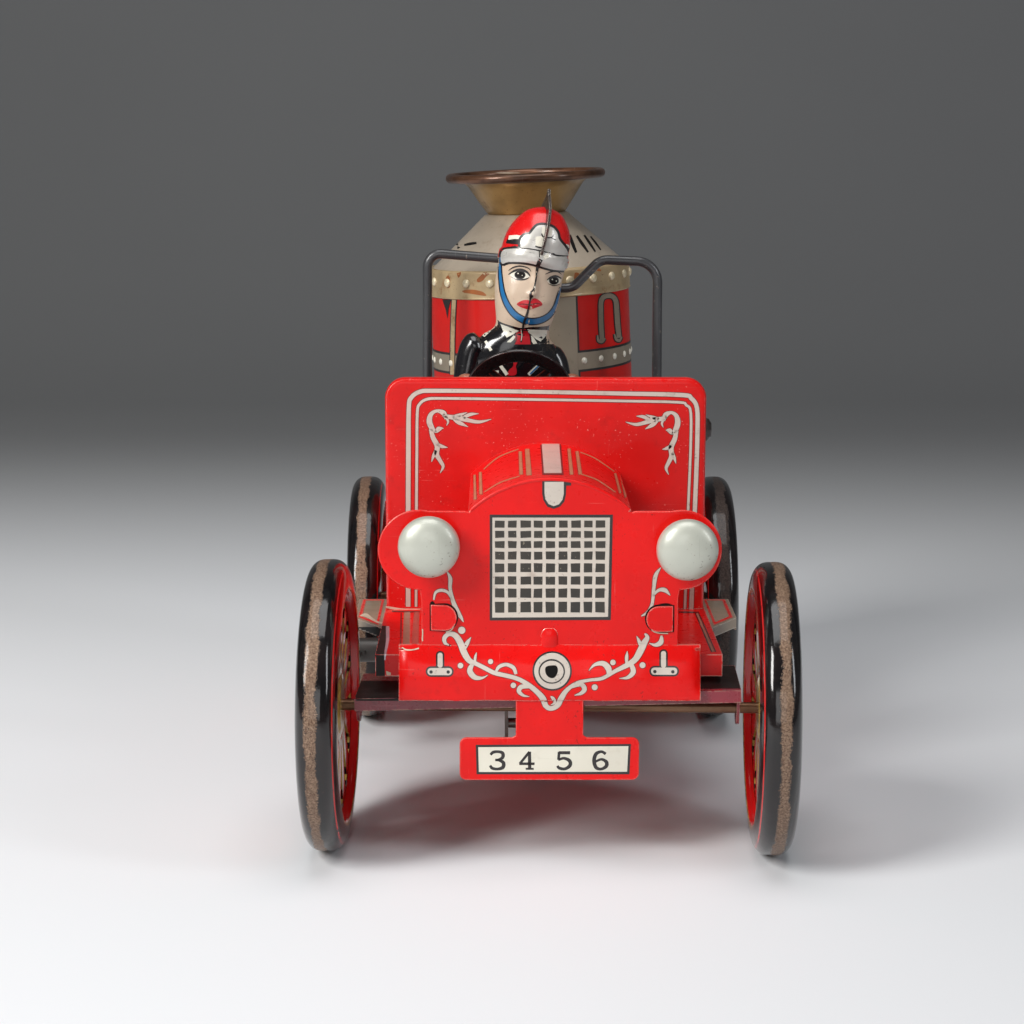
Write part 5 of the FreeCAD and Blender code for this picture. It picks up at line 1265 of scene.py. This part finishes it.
fig_art("helmet_stripe_cream", [[(562, 504), (610, 500), (650, 506), (650, 532), (556, 532)], [(895, 548), (925, 556), (960, 566), (962, 586), (925, 580), (900, 568)]], m_white_and_highlight, 1)
fig_art("helmet_stripe_black", [[(548, 531), (600, 527), (650, 530), (650, 565), (590, 562), (540, 556)], [(900, 565), (962, 586), (964, 640), (930, 640), (905, 600)],
                                [(512, 600), (520, 590), (600, 572), (640, 586), (640, 596), (560, 594), (520, 606)]], m_ink_black_and_shade, 1)
badge = curve_pts([(640, 560), (642, 530), (665, 505), (700, 496), (722, 470), (752, 440), (800, 436), (850, 452), (880, 486), (892, 530), (925, 572), (946, 604), (950, 640), (860, 640), (760, 612), (650, 592)], 4, True)
fig_art("badge_outline", [grown(badge, 17)], m_ink_black_and_shade, 2)
fig_art("badge_silver", [badge], m_helmet_silver, 3)
fig_art("badge_cross", [[(782, 448), (838, 452), (850, 480), (842, 512), (800, 512), (778, 490)], [(738, 512), (796, 506), (800, 560), (780, 580), (738, 572)], [(764, 606), (822, 614), (826, 650), (800, 664), (762, 650)]], m_white_and_highlight, 4)
fig_art("badge_lines", [stroke(s, 5) for s in ([(778, 492, 8), (790, 514, 8), (840, 518, 8), (856, 500, 5)], [(736, 576, 10), (775, 584, 10), (800, 566, 6)], [(840, 520, 4), (872, 534, 6)],
                                               [(796, 508, 4), (802, 560, 6)], [(762, 600, 6), (764, 650, 6)])], m_ink_black_and_shade, 5)
brim = [(508, 640), (520, 606), (560, 594), (640, 592), (720, 600), (800, 616), (880, 638), (958, 642), (960, 700), (950, 726), (930, 735), (860, 731), (790, 714), (720, 692), (640, 680), (560, 680), (516, 692)]
fig_art("helmet_brim_outline", [grown(curve_pts(brim, 3, True), 15)], m_ink_black_and_shade, 2)
fig_art("helmet_brim", [curve_pts(brim, 3, True)], m_helmet_silver, 4)
fig_art("brim_line", [stroke(s, 5) for s in ([(640, 588, 6), (720, 596, 8), (800, 614, 11), (880, 637, 12), (950, 640, 6)],)], m_ink_black_and_shade, 5)
fig_art("eye_whites", [curve_pts([(567, 766), (598, 744), (640, 738), (680, 755), (696, 778), (660, 792), (612, 791), (582, 779)], 4, True),
                       curve_pts([(815, 806), (836, 786), (870, 779), (900, 790), (904, 814), (872, 832), (838, 828)], 4, True)], m_white_and_highlight, 1)
fig_art("eye_rims", [blob(634, 767, 37, 29), blob(859, 804, 33, 28)], m_ink_black_and_shade, 2)
fig_art("eye_irises", [blob(634, 768, 30, 24), blob(859, 806, 26, 23)], m_iris, 3)
fig_art("eye_lights", [blob(622, 757, 5), blob(650, 768, 4), blob(848, 796, 5), blob(874, 807, 4)], m_white_and_highlight, 4)
fig_art("eye_lines", [stroke(s, 6) for s in ([(558, 764, 5), (598, 739, 14), (640, 732, 18), (680, 748, 15), (702, 775, 6)], [(576, 782, 3), (616, 798, 8), (665, 797, 8), (694, 784, 3)],
                                             [(558, 738, 3), (592, 716, 9), (640, 708, 9), (690, 722, 7), (708, 746, 2)], [(812, 802, 4), (838, 782, 12), (874, 774, 13), (908, 790, 8)],
                                             [(820, 826, 2), (858, 838, 6), (896, 830, 3)], [(802, 762, 3), (838, 746, 9), (878, 743, 9), (910, 762, 3)])], m_ink_black_and_shade, 3)
fig_art("lips_shape", [curve_pts([(612, 962), (650, 937), (684, 934), (702, 942), (728, 922), (764, 938), (783, 966), (742, 984), (696, 996), (650, 986)], 4, True)], m_lips, 1)
fig_art("lips_line", [stroke([(614, 963, 2), (660, 961, 6), (700, 966, 7), (745, 956, 6), (782, 966, 2)], 6)], m_line, 2)
strap = [(503, 650, 12), (501, 720, 14), (506, 800, 18), (520, 890, 24), (552, 970, 30), (605, 1036, 34), (680, 1074, 36), (760, 1072, 34), (826, 1038, 28), (866, 980, 18), (890, 905, 12), (905, 850, 4)]
fig_art("strap_outline", [stroke([(x, y, w + 16) for x, y, w in strap], 6)], m_ink_black_and_shade, 1)
fig_art("strap_blue_band", [stroke(strap, 6)], m_blue, 2)
fig_art("seam_line", [stroke([(772, 662, 30), (754, 700, 26), (744, 750, 12), (737, 810, 8), (726, 860, 10), (712, 894, 28), (704, 920, 14), (692, 980, 11), (678, 1036, 16), (660, 1084, 14), (648, 1150, 12), (640, 1215, 8)], 5)], m_ink_black_and_shade, 6)
fig_art("seam_glint", [stroke([(728, 832, 3), (733, 848, 8), (730, 866, 3)], 4), stroke([(641, 1130, 3), (646, 1170, 5), (640, 1206, 3)], 4)], m_white_and_highlight, 7)
# neck, collar and coat front
fig_art("neck_skin", [[(455, 1045), (470, 1000), (500, 960), (880, 960), (870, 1040), (850, 1092), (810, 1112), (700, 1116), (640, 1122), (560, 1100), (500, 1085)]], m_face, 0)
fig_art("coat_yoke", [curve_pts([(420, 1050), (452, 1042), (500, 1078), (560, 1100), (640, 1120), (700, 1114), (812, 1108), (860, 1088), (905, 1130), (960, 1260), (940, 1440), (330, 1440), (340, 1200), (380, 1090)], 3, True)], m_coat, 1)
fig_art("collar_white", [[(505, 1093), (628, 1140), (590, 1162), (545, 1186), (524, 1150)], [(682, 1130), (812, 1134), (812, 1162), (790, 1192), (770, 1212), (742, 1196), (690, 1150)],
                         [(545, 1216), (566, 1196), (592, 1170), (603, 1180), (590, 1200), (572, 1217)], [(700, 1166), (722, 1180), (748, 1224), (722, 1228), (706, 1204)]], m_white_and_highlight, 2)
fig_art("tie_red", [[(604, 1160), (640, 1128), (668, 1126), (690, 1150), (698, 1180), (704, 1230), (596, 1230), (604, 1196)]], m_lips, 2)
fig_art("tie_lines", [stroke(s, 3) for s in ([(600, 1156, 6), (640, 1138, 6), (690, 1136, 6)], [(690, 1150, 6), (704, 1180, 6), (708, 1226, 6)], [(606, 1160, 6), (612, 1190, 6), (596, 1226, 6)])], m_ink_black_and_shade, 3)
# The chevron and the lower bars are print; the first white bar on the sleeve (404, 1208 to 442, 1272) is a painted
# highlight.
fig_art("coat_marks_and_painted_highlight", [[(384, 1098), (412, 1112), (442, 1140), (398, 1182), (384, 1172), (414, 1142), (392, 1118)], stroke([(404, 1208, 18), (442, 1272, 20)], 2),
                       stroke([(472, 1330, 18), (510, 1380, 22), (548, 1432, 24)], 3), stroke([(408, 1412, 14), (492, 1412, 16)], 2)], m_white_and_highlight, 3)
fig_art("coat_braid_red", [curve_pts([(584, 1290), (608, 1296), (622, 1330), (606, 1376), (612, 1402), (604, 1434), (548, 1434), (560, 1402), (590, 1370), (580, 1320)], 3, True)], m_lips, 3)
fig_art("coat_braid_blue", [stroke([(794, 1332, 16), (745, 1380, 20), (690, 1432, 22)], 3)], m_white_and_highlight, 3)
fig_art("coat_braid_blue_core", [stroke([(784, 1346, 8), (745, 1384, 10), (700, 1428, 10)], 3)], m_blue, 4)

# ------------------------------------------------------------------ art: boiler
bt = tree_of(shell)
ct = tree_of(cone)


def wrap(name, patches, mat, level, R=26.0, thick=0.03):
    """Patches given as (angle0, angle1, z0, z1) in degrees and mm on the boiler wall."""
    vv, ff = [], []
    lift = 0.03 + 0.022 * level
    for a0, a1, z0, z1 in patches:
        n = max(2, int(abs(a1 - a0) / 2.5))
        b = len(vv)
        for i in range(n + 1):
            a = rad(a0 + (a1 - a0) * i / n - 90.0)
            for rr_, z in ((R + lift, z0), (R + lift, z1), (R + lift - 0.02, z1), (R + lift - 0.02, z0)):
                vv.append(lean((rr_ * cos(a), BY + rr_ * sin(a), z)))
        for i in range(n):
            for k in range(4):
                ff.append((b + i * 4 + k, b + (i + 1) * 4 + k, b + (i + 1) * 4 + (k + 1) % 4, b + i * 4 + (k + 1) % 4))
        ff += [(b, b + 1, b + 2, b + 3), (b + n * 4 + 3, b + n * 4 + 2, b + n * 4 + 1, b + n * 4)]
    return make(name, vv, ff, mat, "chassis")


wrap("boiler_centre_panel", [(-12, 26, 46.5, 111.8)], m_boil_grey, 1)
wrap("boiler_back_panel", [(156, 200, 46.5, 111.8)], m_boil_grey, 1)
wrap("boiler_panel_lines", [(-13.0, -12.0, 46.5, 111.8), (26.0, 27.2, 46.5, 111.8), (155.0, 156.0, 46.5, 111.8), (200.0, 201.0, 46.5, 111.8)], m_ink_black_and_shade, 2)
wrap("boiler_band_outline", [(26, 156, 92.5, 98.0), (-160, -12, 92.5, 98.0)], m_ink_black_and_shade, 2)
wrap("boiler_band", [(26, 156, 93.1, 97.4), (-160, -12, 93.1, 97.4)], m_boil_grey, 3)
bk = []
for a in [30 + 12 * i for i in range(11)] + [-150 + 12 * i for i in range(11)]:
    bk.append((a, 95.3))
rv, rf = [], []
for a, z in bk:
    base = len(rv)
    aa = rad(a - 90)
    for ringi, (rr_, out) in enumerate(((0.05, 0.35), (0.45, 0.3), (0.75, 0.14), (0.85, 0.0))):
        for k in range(12):
            b = 2 * pi * k / 12
            R = 26.08 + out
            rv.append(lean((R * cos(aa) - rr_ * cos(b) * sin(aa), BY + R * sin(aa) + rr_ * cos(b) * cos(aa), z + rr_ * sin(b))))
    for ringi in range(3):
        for k in range(12):
            k2 = (k + 1) % 12
            rf.append((base + ringi * 12 + k, base + (ringi + 1) * 12 + k, base + (ringi + 1) * 12 + k2, base + ringi * 12 + k2))
make("band_rivets", rv, rf, m_white_and_highlight, "chassis", smooth=60)


def boil_art(name, polys, mat, level):
    print_on(name, polys, B, mat, "chassis", trees=bt, level=level, grid=5)


pipe_r = [(1180, 1200, 30), (1174, 1100, 30), (1172, 1010, 30), (1173, 950, 30), (1186, 918, 31), (1218, 905, 31), (1252, 912, 31), (1272, 944, 32), (1278, 1010, 33), (1284, 1100, 33), (1294, 1186, 31)]
hooks = [[(1150, 1168, 8), (1156, 1204, 18), (1180, 1212, 20), (1200, 1190, 10)], [(1262, 1160, 8), (1274, 1196, 18), (1296, 1204, 18), (1312, 1180, 8)]]
boil_art("pipe_outline", [stroke([(x, y, w + 14) for x, y, w in s], 5) for s in [pipe_r] + hooks], m_ink_black_and_shade, 2)
boil_art("pipe_fill", [stroke(s, 5) for s in [pipe_r] + hooks], m_boil_grey, 3)
pipe_l = [(196, 932, 26), (190, 1060, 26), (186, 1200, 26), (184, 1432, 26)]
boil_art("pipe_left_outline", [stroke([(x, y, w + 12) for x, y, w in pipe_l], 4), [(118, 930), (176, 930), (160, 990), (152, 1056), (140, 1000)]], m_ink_black_and_shade, 4)
boil_art("pipe_left_fill", [stroke(pipe_l, 4)], m_collar, 5)
slits = [[(965, 500, 16), (985, 560, 22), (1008, 618, 16)], [(1012, 506, 14), (1046, 556, 20), (1088, 616, 12)], [(1062, 502, 12), (1096, 552, 16), (1136, 612, 10)],
         [(1104, 510, 9), (1140, 556, 13), (1172, 600, 8)], [(212, 560, 16), (226, 590, 18)], [(262, 568, 12), (300, 560, 18), (344, 554, 14)], [(186, 646, 10), (226, 656, 14), (262, 654, 10)]]
# Painted shade in the slits of the cone.
print_on("cone_slits", [stroke(s, 4) for s in slits], B, m_hole_shade, "chassis", trees=ct, level=1, grid=4)


m_stain = tin("collar_stain", lin(150, 84, 34), 0.55, coat=0.05, var=0.35, grime=0.5, grime_col=lin(90, 46, 24), seed=51)
stains = [curve_pts(p, 3, True) for p in ([(345, 800), (372, 770), (400, 742), (430, 716), (452, 722), (440, 752), (408, 778), (384, 806), (356, 816)],
                                          [(250, 872), (300, 864), (352, 870), (392, 884), (408, 906), (352, 900), (306, 892), (262, 886)],
                                          [(140, 790), (156, 770), (168, 800), (164, 850), (148, 846)], [(1000, 752), (1030, 760), (1024, 800), (1010, 824), (996, 796)],
                                          [(212, 740), (236, 726), (240, 760), (222, 786)], [(1110, 700), (1150, 712), (1176, 740), (1140, 736)])]
print_on("collar_stains", stains, B, m_stain, "chassis", trees=tree_of(bpy.data.objects["boiler_collar_band"]), level=0, grid=6)

# ------------------------------------------------------------------ art: deck, left step and raw edges, with painted shade on the deck, step and bracket


def flat(x, y):
    return (x, y)


m_taupe = tin("taupe_ink", lin(158, 118, 96), 0.42, coat=0.1, var=0.12, grime=0.4, grime_col=lin(150, 60, 50), seed=52)
m_taupe_red = tin("taupe_red_ink", lin(172, 74, 62), 0.4, coat=0.1, var=0.15, seed=53)
# Cream for raw tin edges and chips; also used for painted highlights along the skirt edge and on the pressed flaps.
m_cream_raw_and_highlight = tin("raw_cream_and_painted_highlight", lin(214, 202, 178), 0.5, metal=0.2, coat=0.0, var=0.2, grime=0.5, grime_col=lin(120, 96, 76), seed=54)
m_raw = tin("raw_tin", lin(196, 198, 206), 0.36, metal=0.4, coat=0.1, var=0.15, seed=55)
# Near-black used as painted shade: the dark void beside the left step, the step's inner face and the top of the front
# axle bracket.
m_painted_shade = tin("painted_shade_black", lin(34, 31, 30), 0.5, coat=0.05, spec=0.2, var=0.3, grime=0.3, seed=56)
tray_t, step_t, brk_t = (tree_of(frame["nodes"][k]) for k in ("chassis_tray", "side_step_left", "front_axle_bracket"))
print_on("deck_stripes", [[(403.9, 612), (410.1, 612), (409.7, 645.6), (402.6, 645.6)], stroke([(697, 613.5, 2.0), (705, 633, 2.2), (713.5, 652, 2.4)], 4)], flat, m_taupe,
         "chassis", trees=tray_t, level=1, grid=2)
print_on("deck_stripes_red", [[(413.8, 612), (419.6, 612), (418.5, 645.6), (411.5, 645.6)]], flat, m_taupe_red, "chassis", trees=tray_t, level=1, grid=2)
# Black strokes: the first paints shade in the deck fold, the next two paint shade in the gap under the dashboard edge,
# the last two are printed stripe outlines.
print_on("deck_lines_and_painted_shade", [stroke(q, 3) for q in ([(401.2, 613, 1.0), (401.0, 630, 1.8), (400.6, 645, 1.2)], [(392, 611.3, 1.3), (406, 611.8, 1.5), (420, 611.8, 1.3)],
                                               [(679, 612.2, 1.2), (688, 612.4, 1.6), (699, 612.4, 1.2)], [(695.4, 613.5, 0.6), (711.6, 652, 0.7)], [(698.8, 613.5, 0.6), (715.6, 652, 0.7)])],
         flat, m_ink_black_and_shade, "chassis", trees=tray_t, level=1, grid=2)
# Painted shade: a dark patch on the tray top where the left step bends away from it.
print_on("deck_void_painted_shade", [[(373, 626), (386.2, 626), (386.2, 642), (384.6, 660), (385.2, 686), (373, 686)]], flat, m_painted_shade, "chassis", trees=tray_t, level=1, grid=0.8)
print_on("fold_raw", [[(386, 670.8), (390.6, 672.5), (391.9, 682), (387.7, 682)]], flat, m_cream_raw_and_highlight, "chassis", trees=tray_t, level=2, grid=1.5)
print_on("fold_edge", [stroke([(387.6, 626.5, 3.4), (387.7, 634, 3.5), (387.4, 642, 3.0), (385.4, 653, 2.2), (384.8, 660, 0.8)], 4)], flat, m_raw, "chassis", trees=tray_t, level=2, grid=0.8)
print_on("step_raw_edge", [stroke([(360, 616, 1.0), (365.8, 615.4, 3.6), (371.6, 619, 2.6), (378.2, 622.6, 1.8), (386, 623.8, 2.0)], 4)], flat, m_cream_raw_and_highlight, "chassis", trees=step_t, level=2, grid=1.5)
# Painted shade on the inner face of the left step.
print_on("step_shade", [[(359, 627), (386, 627), (386, 662), (359, 662)]], flat, m_painted_shade, "chassis", trees=step_t, level=1, grid=1.5)
# Painted shade on the top of the front axle bracket.
print_on("bracket_shade", [[(356, 681), (401, 681), (401, 700.8), (356, 700.8)], [(699, 664), (744, 664), (744, 688.6), (699, 688.6)]], flat, m_painted_shade, "front_carrier",
         trees=brk_t, level=1, grid=1.0)
print_on("dash_raw_edge", [stroke([(385.6, 606.6, 1.2), (392, 608, 2.3), (404, 609.4, 1.5), (420, 609.6, 1.2)], 3)], flat, m_cream_raw_and_highlight, "chassis", y=DASH_Y, level=3)
# Painted shade in the slots of the pressed flaps.
print_on("flap_slots", [stroke([(431.2, 601.6, 3.0), (433.2, 605, 4.4), (434.4, 609.4, 2.2)], 4), stroke([(656, 606.4, 1.4), (661, 605, 2.6), (668, 604.8, 3.0), (673.6, 606.8, 2.0)], 4)],
         flat, m_hole_shade, "chassis", trees=plate_tree, level=4, grid=2)
print_on("flap_glints", [stroke([(448.6, 608, 0.8), (452.6, 614, 1.4), (454.4, 622, 1.6), (451.6, 629.6, 1.2), (446, 632, 0.6)], 4), stroke([(652.4, 612, 0.8), (648.6, 619, 1.5), (650.4, 627, 1.6), (656, 632.4, 1.4), (668, 633.4, 0.8)], 4)],
         flat, m_cream_raw_and_highlight, "chassis", trees=plate_tree, level=4, grid=2)
# A cream chip at the skirt's corner, and a painted highlight along the skirt's top-left edge.
print_on("skirt_chip_and_painted_highlight", [stroke(q, 3) for q in ([(422.6, 629, 1.2), (422.0, 634, 2.4), (422.6, 641, 0.6)], [(402, 647.6, 0.8), (406, 649.8, 1.4), (412, 650, 1.0), (419, 648.4, 1.5)])],
         flat, m_cream_raw_and_highlight, "chassis", trees=plate_tree, level=3, grid=2)

# ------------------------------------------------------------------ art: side steps
for side_name, sd in (("left", -1), ("right", 1)):
    pts = [(sd * 38.3, -37.6), (sd * 43.4, -29.2), (sd * 43.4, -9.4), (sd * 38.3, -9.4)]
    inn = [(sd * 38.9, -34.6), (sd * 42.6, -28.4), (sd * 42.6, -10.4), (sd * 38.9, -10.4)]
    n = 4
    v = [(x, y, 43.22) for x, y in pts] + [(x, y, 43.22) for x, y in inn] + [(x, y, 43.26) for x, y in pts] + [(x, y, 43.26) for x, y in inn]
    f = []
    for i in range(4):
        j = (i + 1) % 4
        f += [(i, j, 4 + j, 4 + i), (8 + i, 12 + i, 12 + j, 8 + j), (i, 8 + i, 8 + j, j), (4 + i, 4 + j, 12 + j, 12 + i)]
    make("step_border_" + side_name, v, f, m_red, "chassis")

# ------------------------------------------------------------------ stage
def floor_material():
    n = Net("studio_floor")
    sep = n.t.nodes.new("ShaderNodeSeparateXYZ")
    n.link(n.mm, sep.inputs[0])
    # Painted light falloff: the floor colour goes darker towards the back (g) and darker towards the right (g2),
    # standing in for light that falls off away from the lamps.
    g = n.step(sep.outputs[1], 60.0, 620.0)
    g2 = n.step(sep.outputs[0], -60.0, 420.0)
    c = n.mix(g, lin(232, 234, 237), lin(125, 126, 127))
    c = n.mix(n.math("MULTIPLY", g2, 0.35), c, lin(120, 121, 124))
    c = n.mix(n.math("MULTIPLY", n.noise(0.004, 2, 0.5), 0.06), c, lin(200, 200, 200))
    return n.done(c, 0.65, 0.0, n.noise(1.5, 2, 0.5), 0.02, 0.0, 0.3)


prof = [(-1500, 0.0), (-600, 0.0), (0, 0.0), (400, 0.0), (700, 0.0)]
for i in range(1, 13):
    a = rad(90 * i / 12)
    prof.append((700 + 500 * sin(a), 500 - 500 * cos(a)))
prof.append((1200, 2500))
v, f = [], []
for i in range(2):
    for y, z in prof:
        v.append(((-2500, 2500)[i], y, z))
k = len(prof)
for i in range(k - 1):
    f.append((i, i + 1, k + i + 1, k + i))
me = bpy.data.meshes.new("studio_sweep")
me.from_pydata([(a / 1000, b / 1000, c / 1000) for a, b, c in v], [], f)
me.materials.append(floor_material())
for p in me.polygons:
    p.use_smooth = True
floor = bpy.data.objects.new("studio_sweep", me)
bpy.context.scene.collection.objects.link(floor)


def area(name, loc, target, size, power, col=(1, 1, 1), size_y=None):
    li = bpy.data.lights.new(name, "AREA")
    li.shape = "RECTANGLE"
    li.size = size
    li.size_y = size_y or size
    li.energy = power
    li.color = col
    ob = bpy.data.objects.new(name, li)
    ob.location = loc
    ob.rotation_euler = (Vector(target) - Vector(loc)).to_track_quat("-Z", "Y").to_euler()
    bpy.context.scene.collection.objects.link(ob)


area("key_left", (-0.62, -0.55, 0.62), (0, -0.03, 0.05), 0.30, 8.8, (1.0, 0.985, 0.96), 0.5)
area("fill_right", (0.75, -0.45, 0.50), (0, 0.0, 0.05), 0.17, 1.8, (0.95, 0.97, 1.0), 0.5)
area("top_soft", (0.0, -0.15, 0.95), (0, -0.05, 0.0), 0.6, 3.4, (1, 1, 1))
area("front_low", (-0.1, -1.25, 0.35), (0, 0, 0.06), 0.5, 1.4, (1, 1, 1))
w = bpy.data.worlds.new("studio_world")
w.use_nodes = True
w.node_tree.nodes["Background"].inputs[0].default_value = (0.80, 0.82, 0.85, 1)
w.node_tree.nodes["Background"].inputs[1].default_value = 0.125
bpy.context.scene.world = w
bpy.context.scene.view_settings.view_transform = "Standard"

cam = bpy.data.cameras.new("view")
cam.sensor_width = 36.0
cam.lens = 36.0 * FPX / 1024.0
cam.clip_start, cam.clip_end = 0.01, 10.0
co = bpy.data.objects.new("view", cam)
B3 = -FW
co.matrix_world = Matrix(((R2.x, U2.x, B3.x, CAM.x / 1000), (R2.y, U2.y, B3.y, CAM.y / 1000), (R2.z, U2.z, B3.z, CAM.z / 1000), (0, 0, 0, 1)))
bpy.context.scene.collection.objects.link(co)
bpy.context.scene.camera = co

bpy.context.view_layer.update()
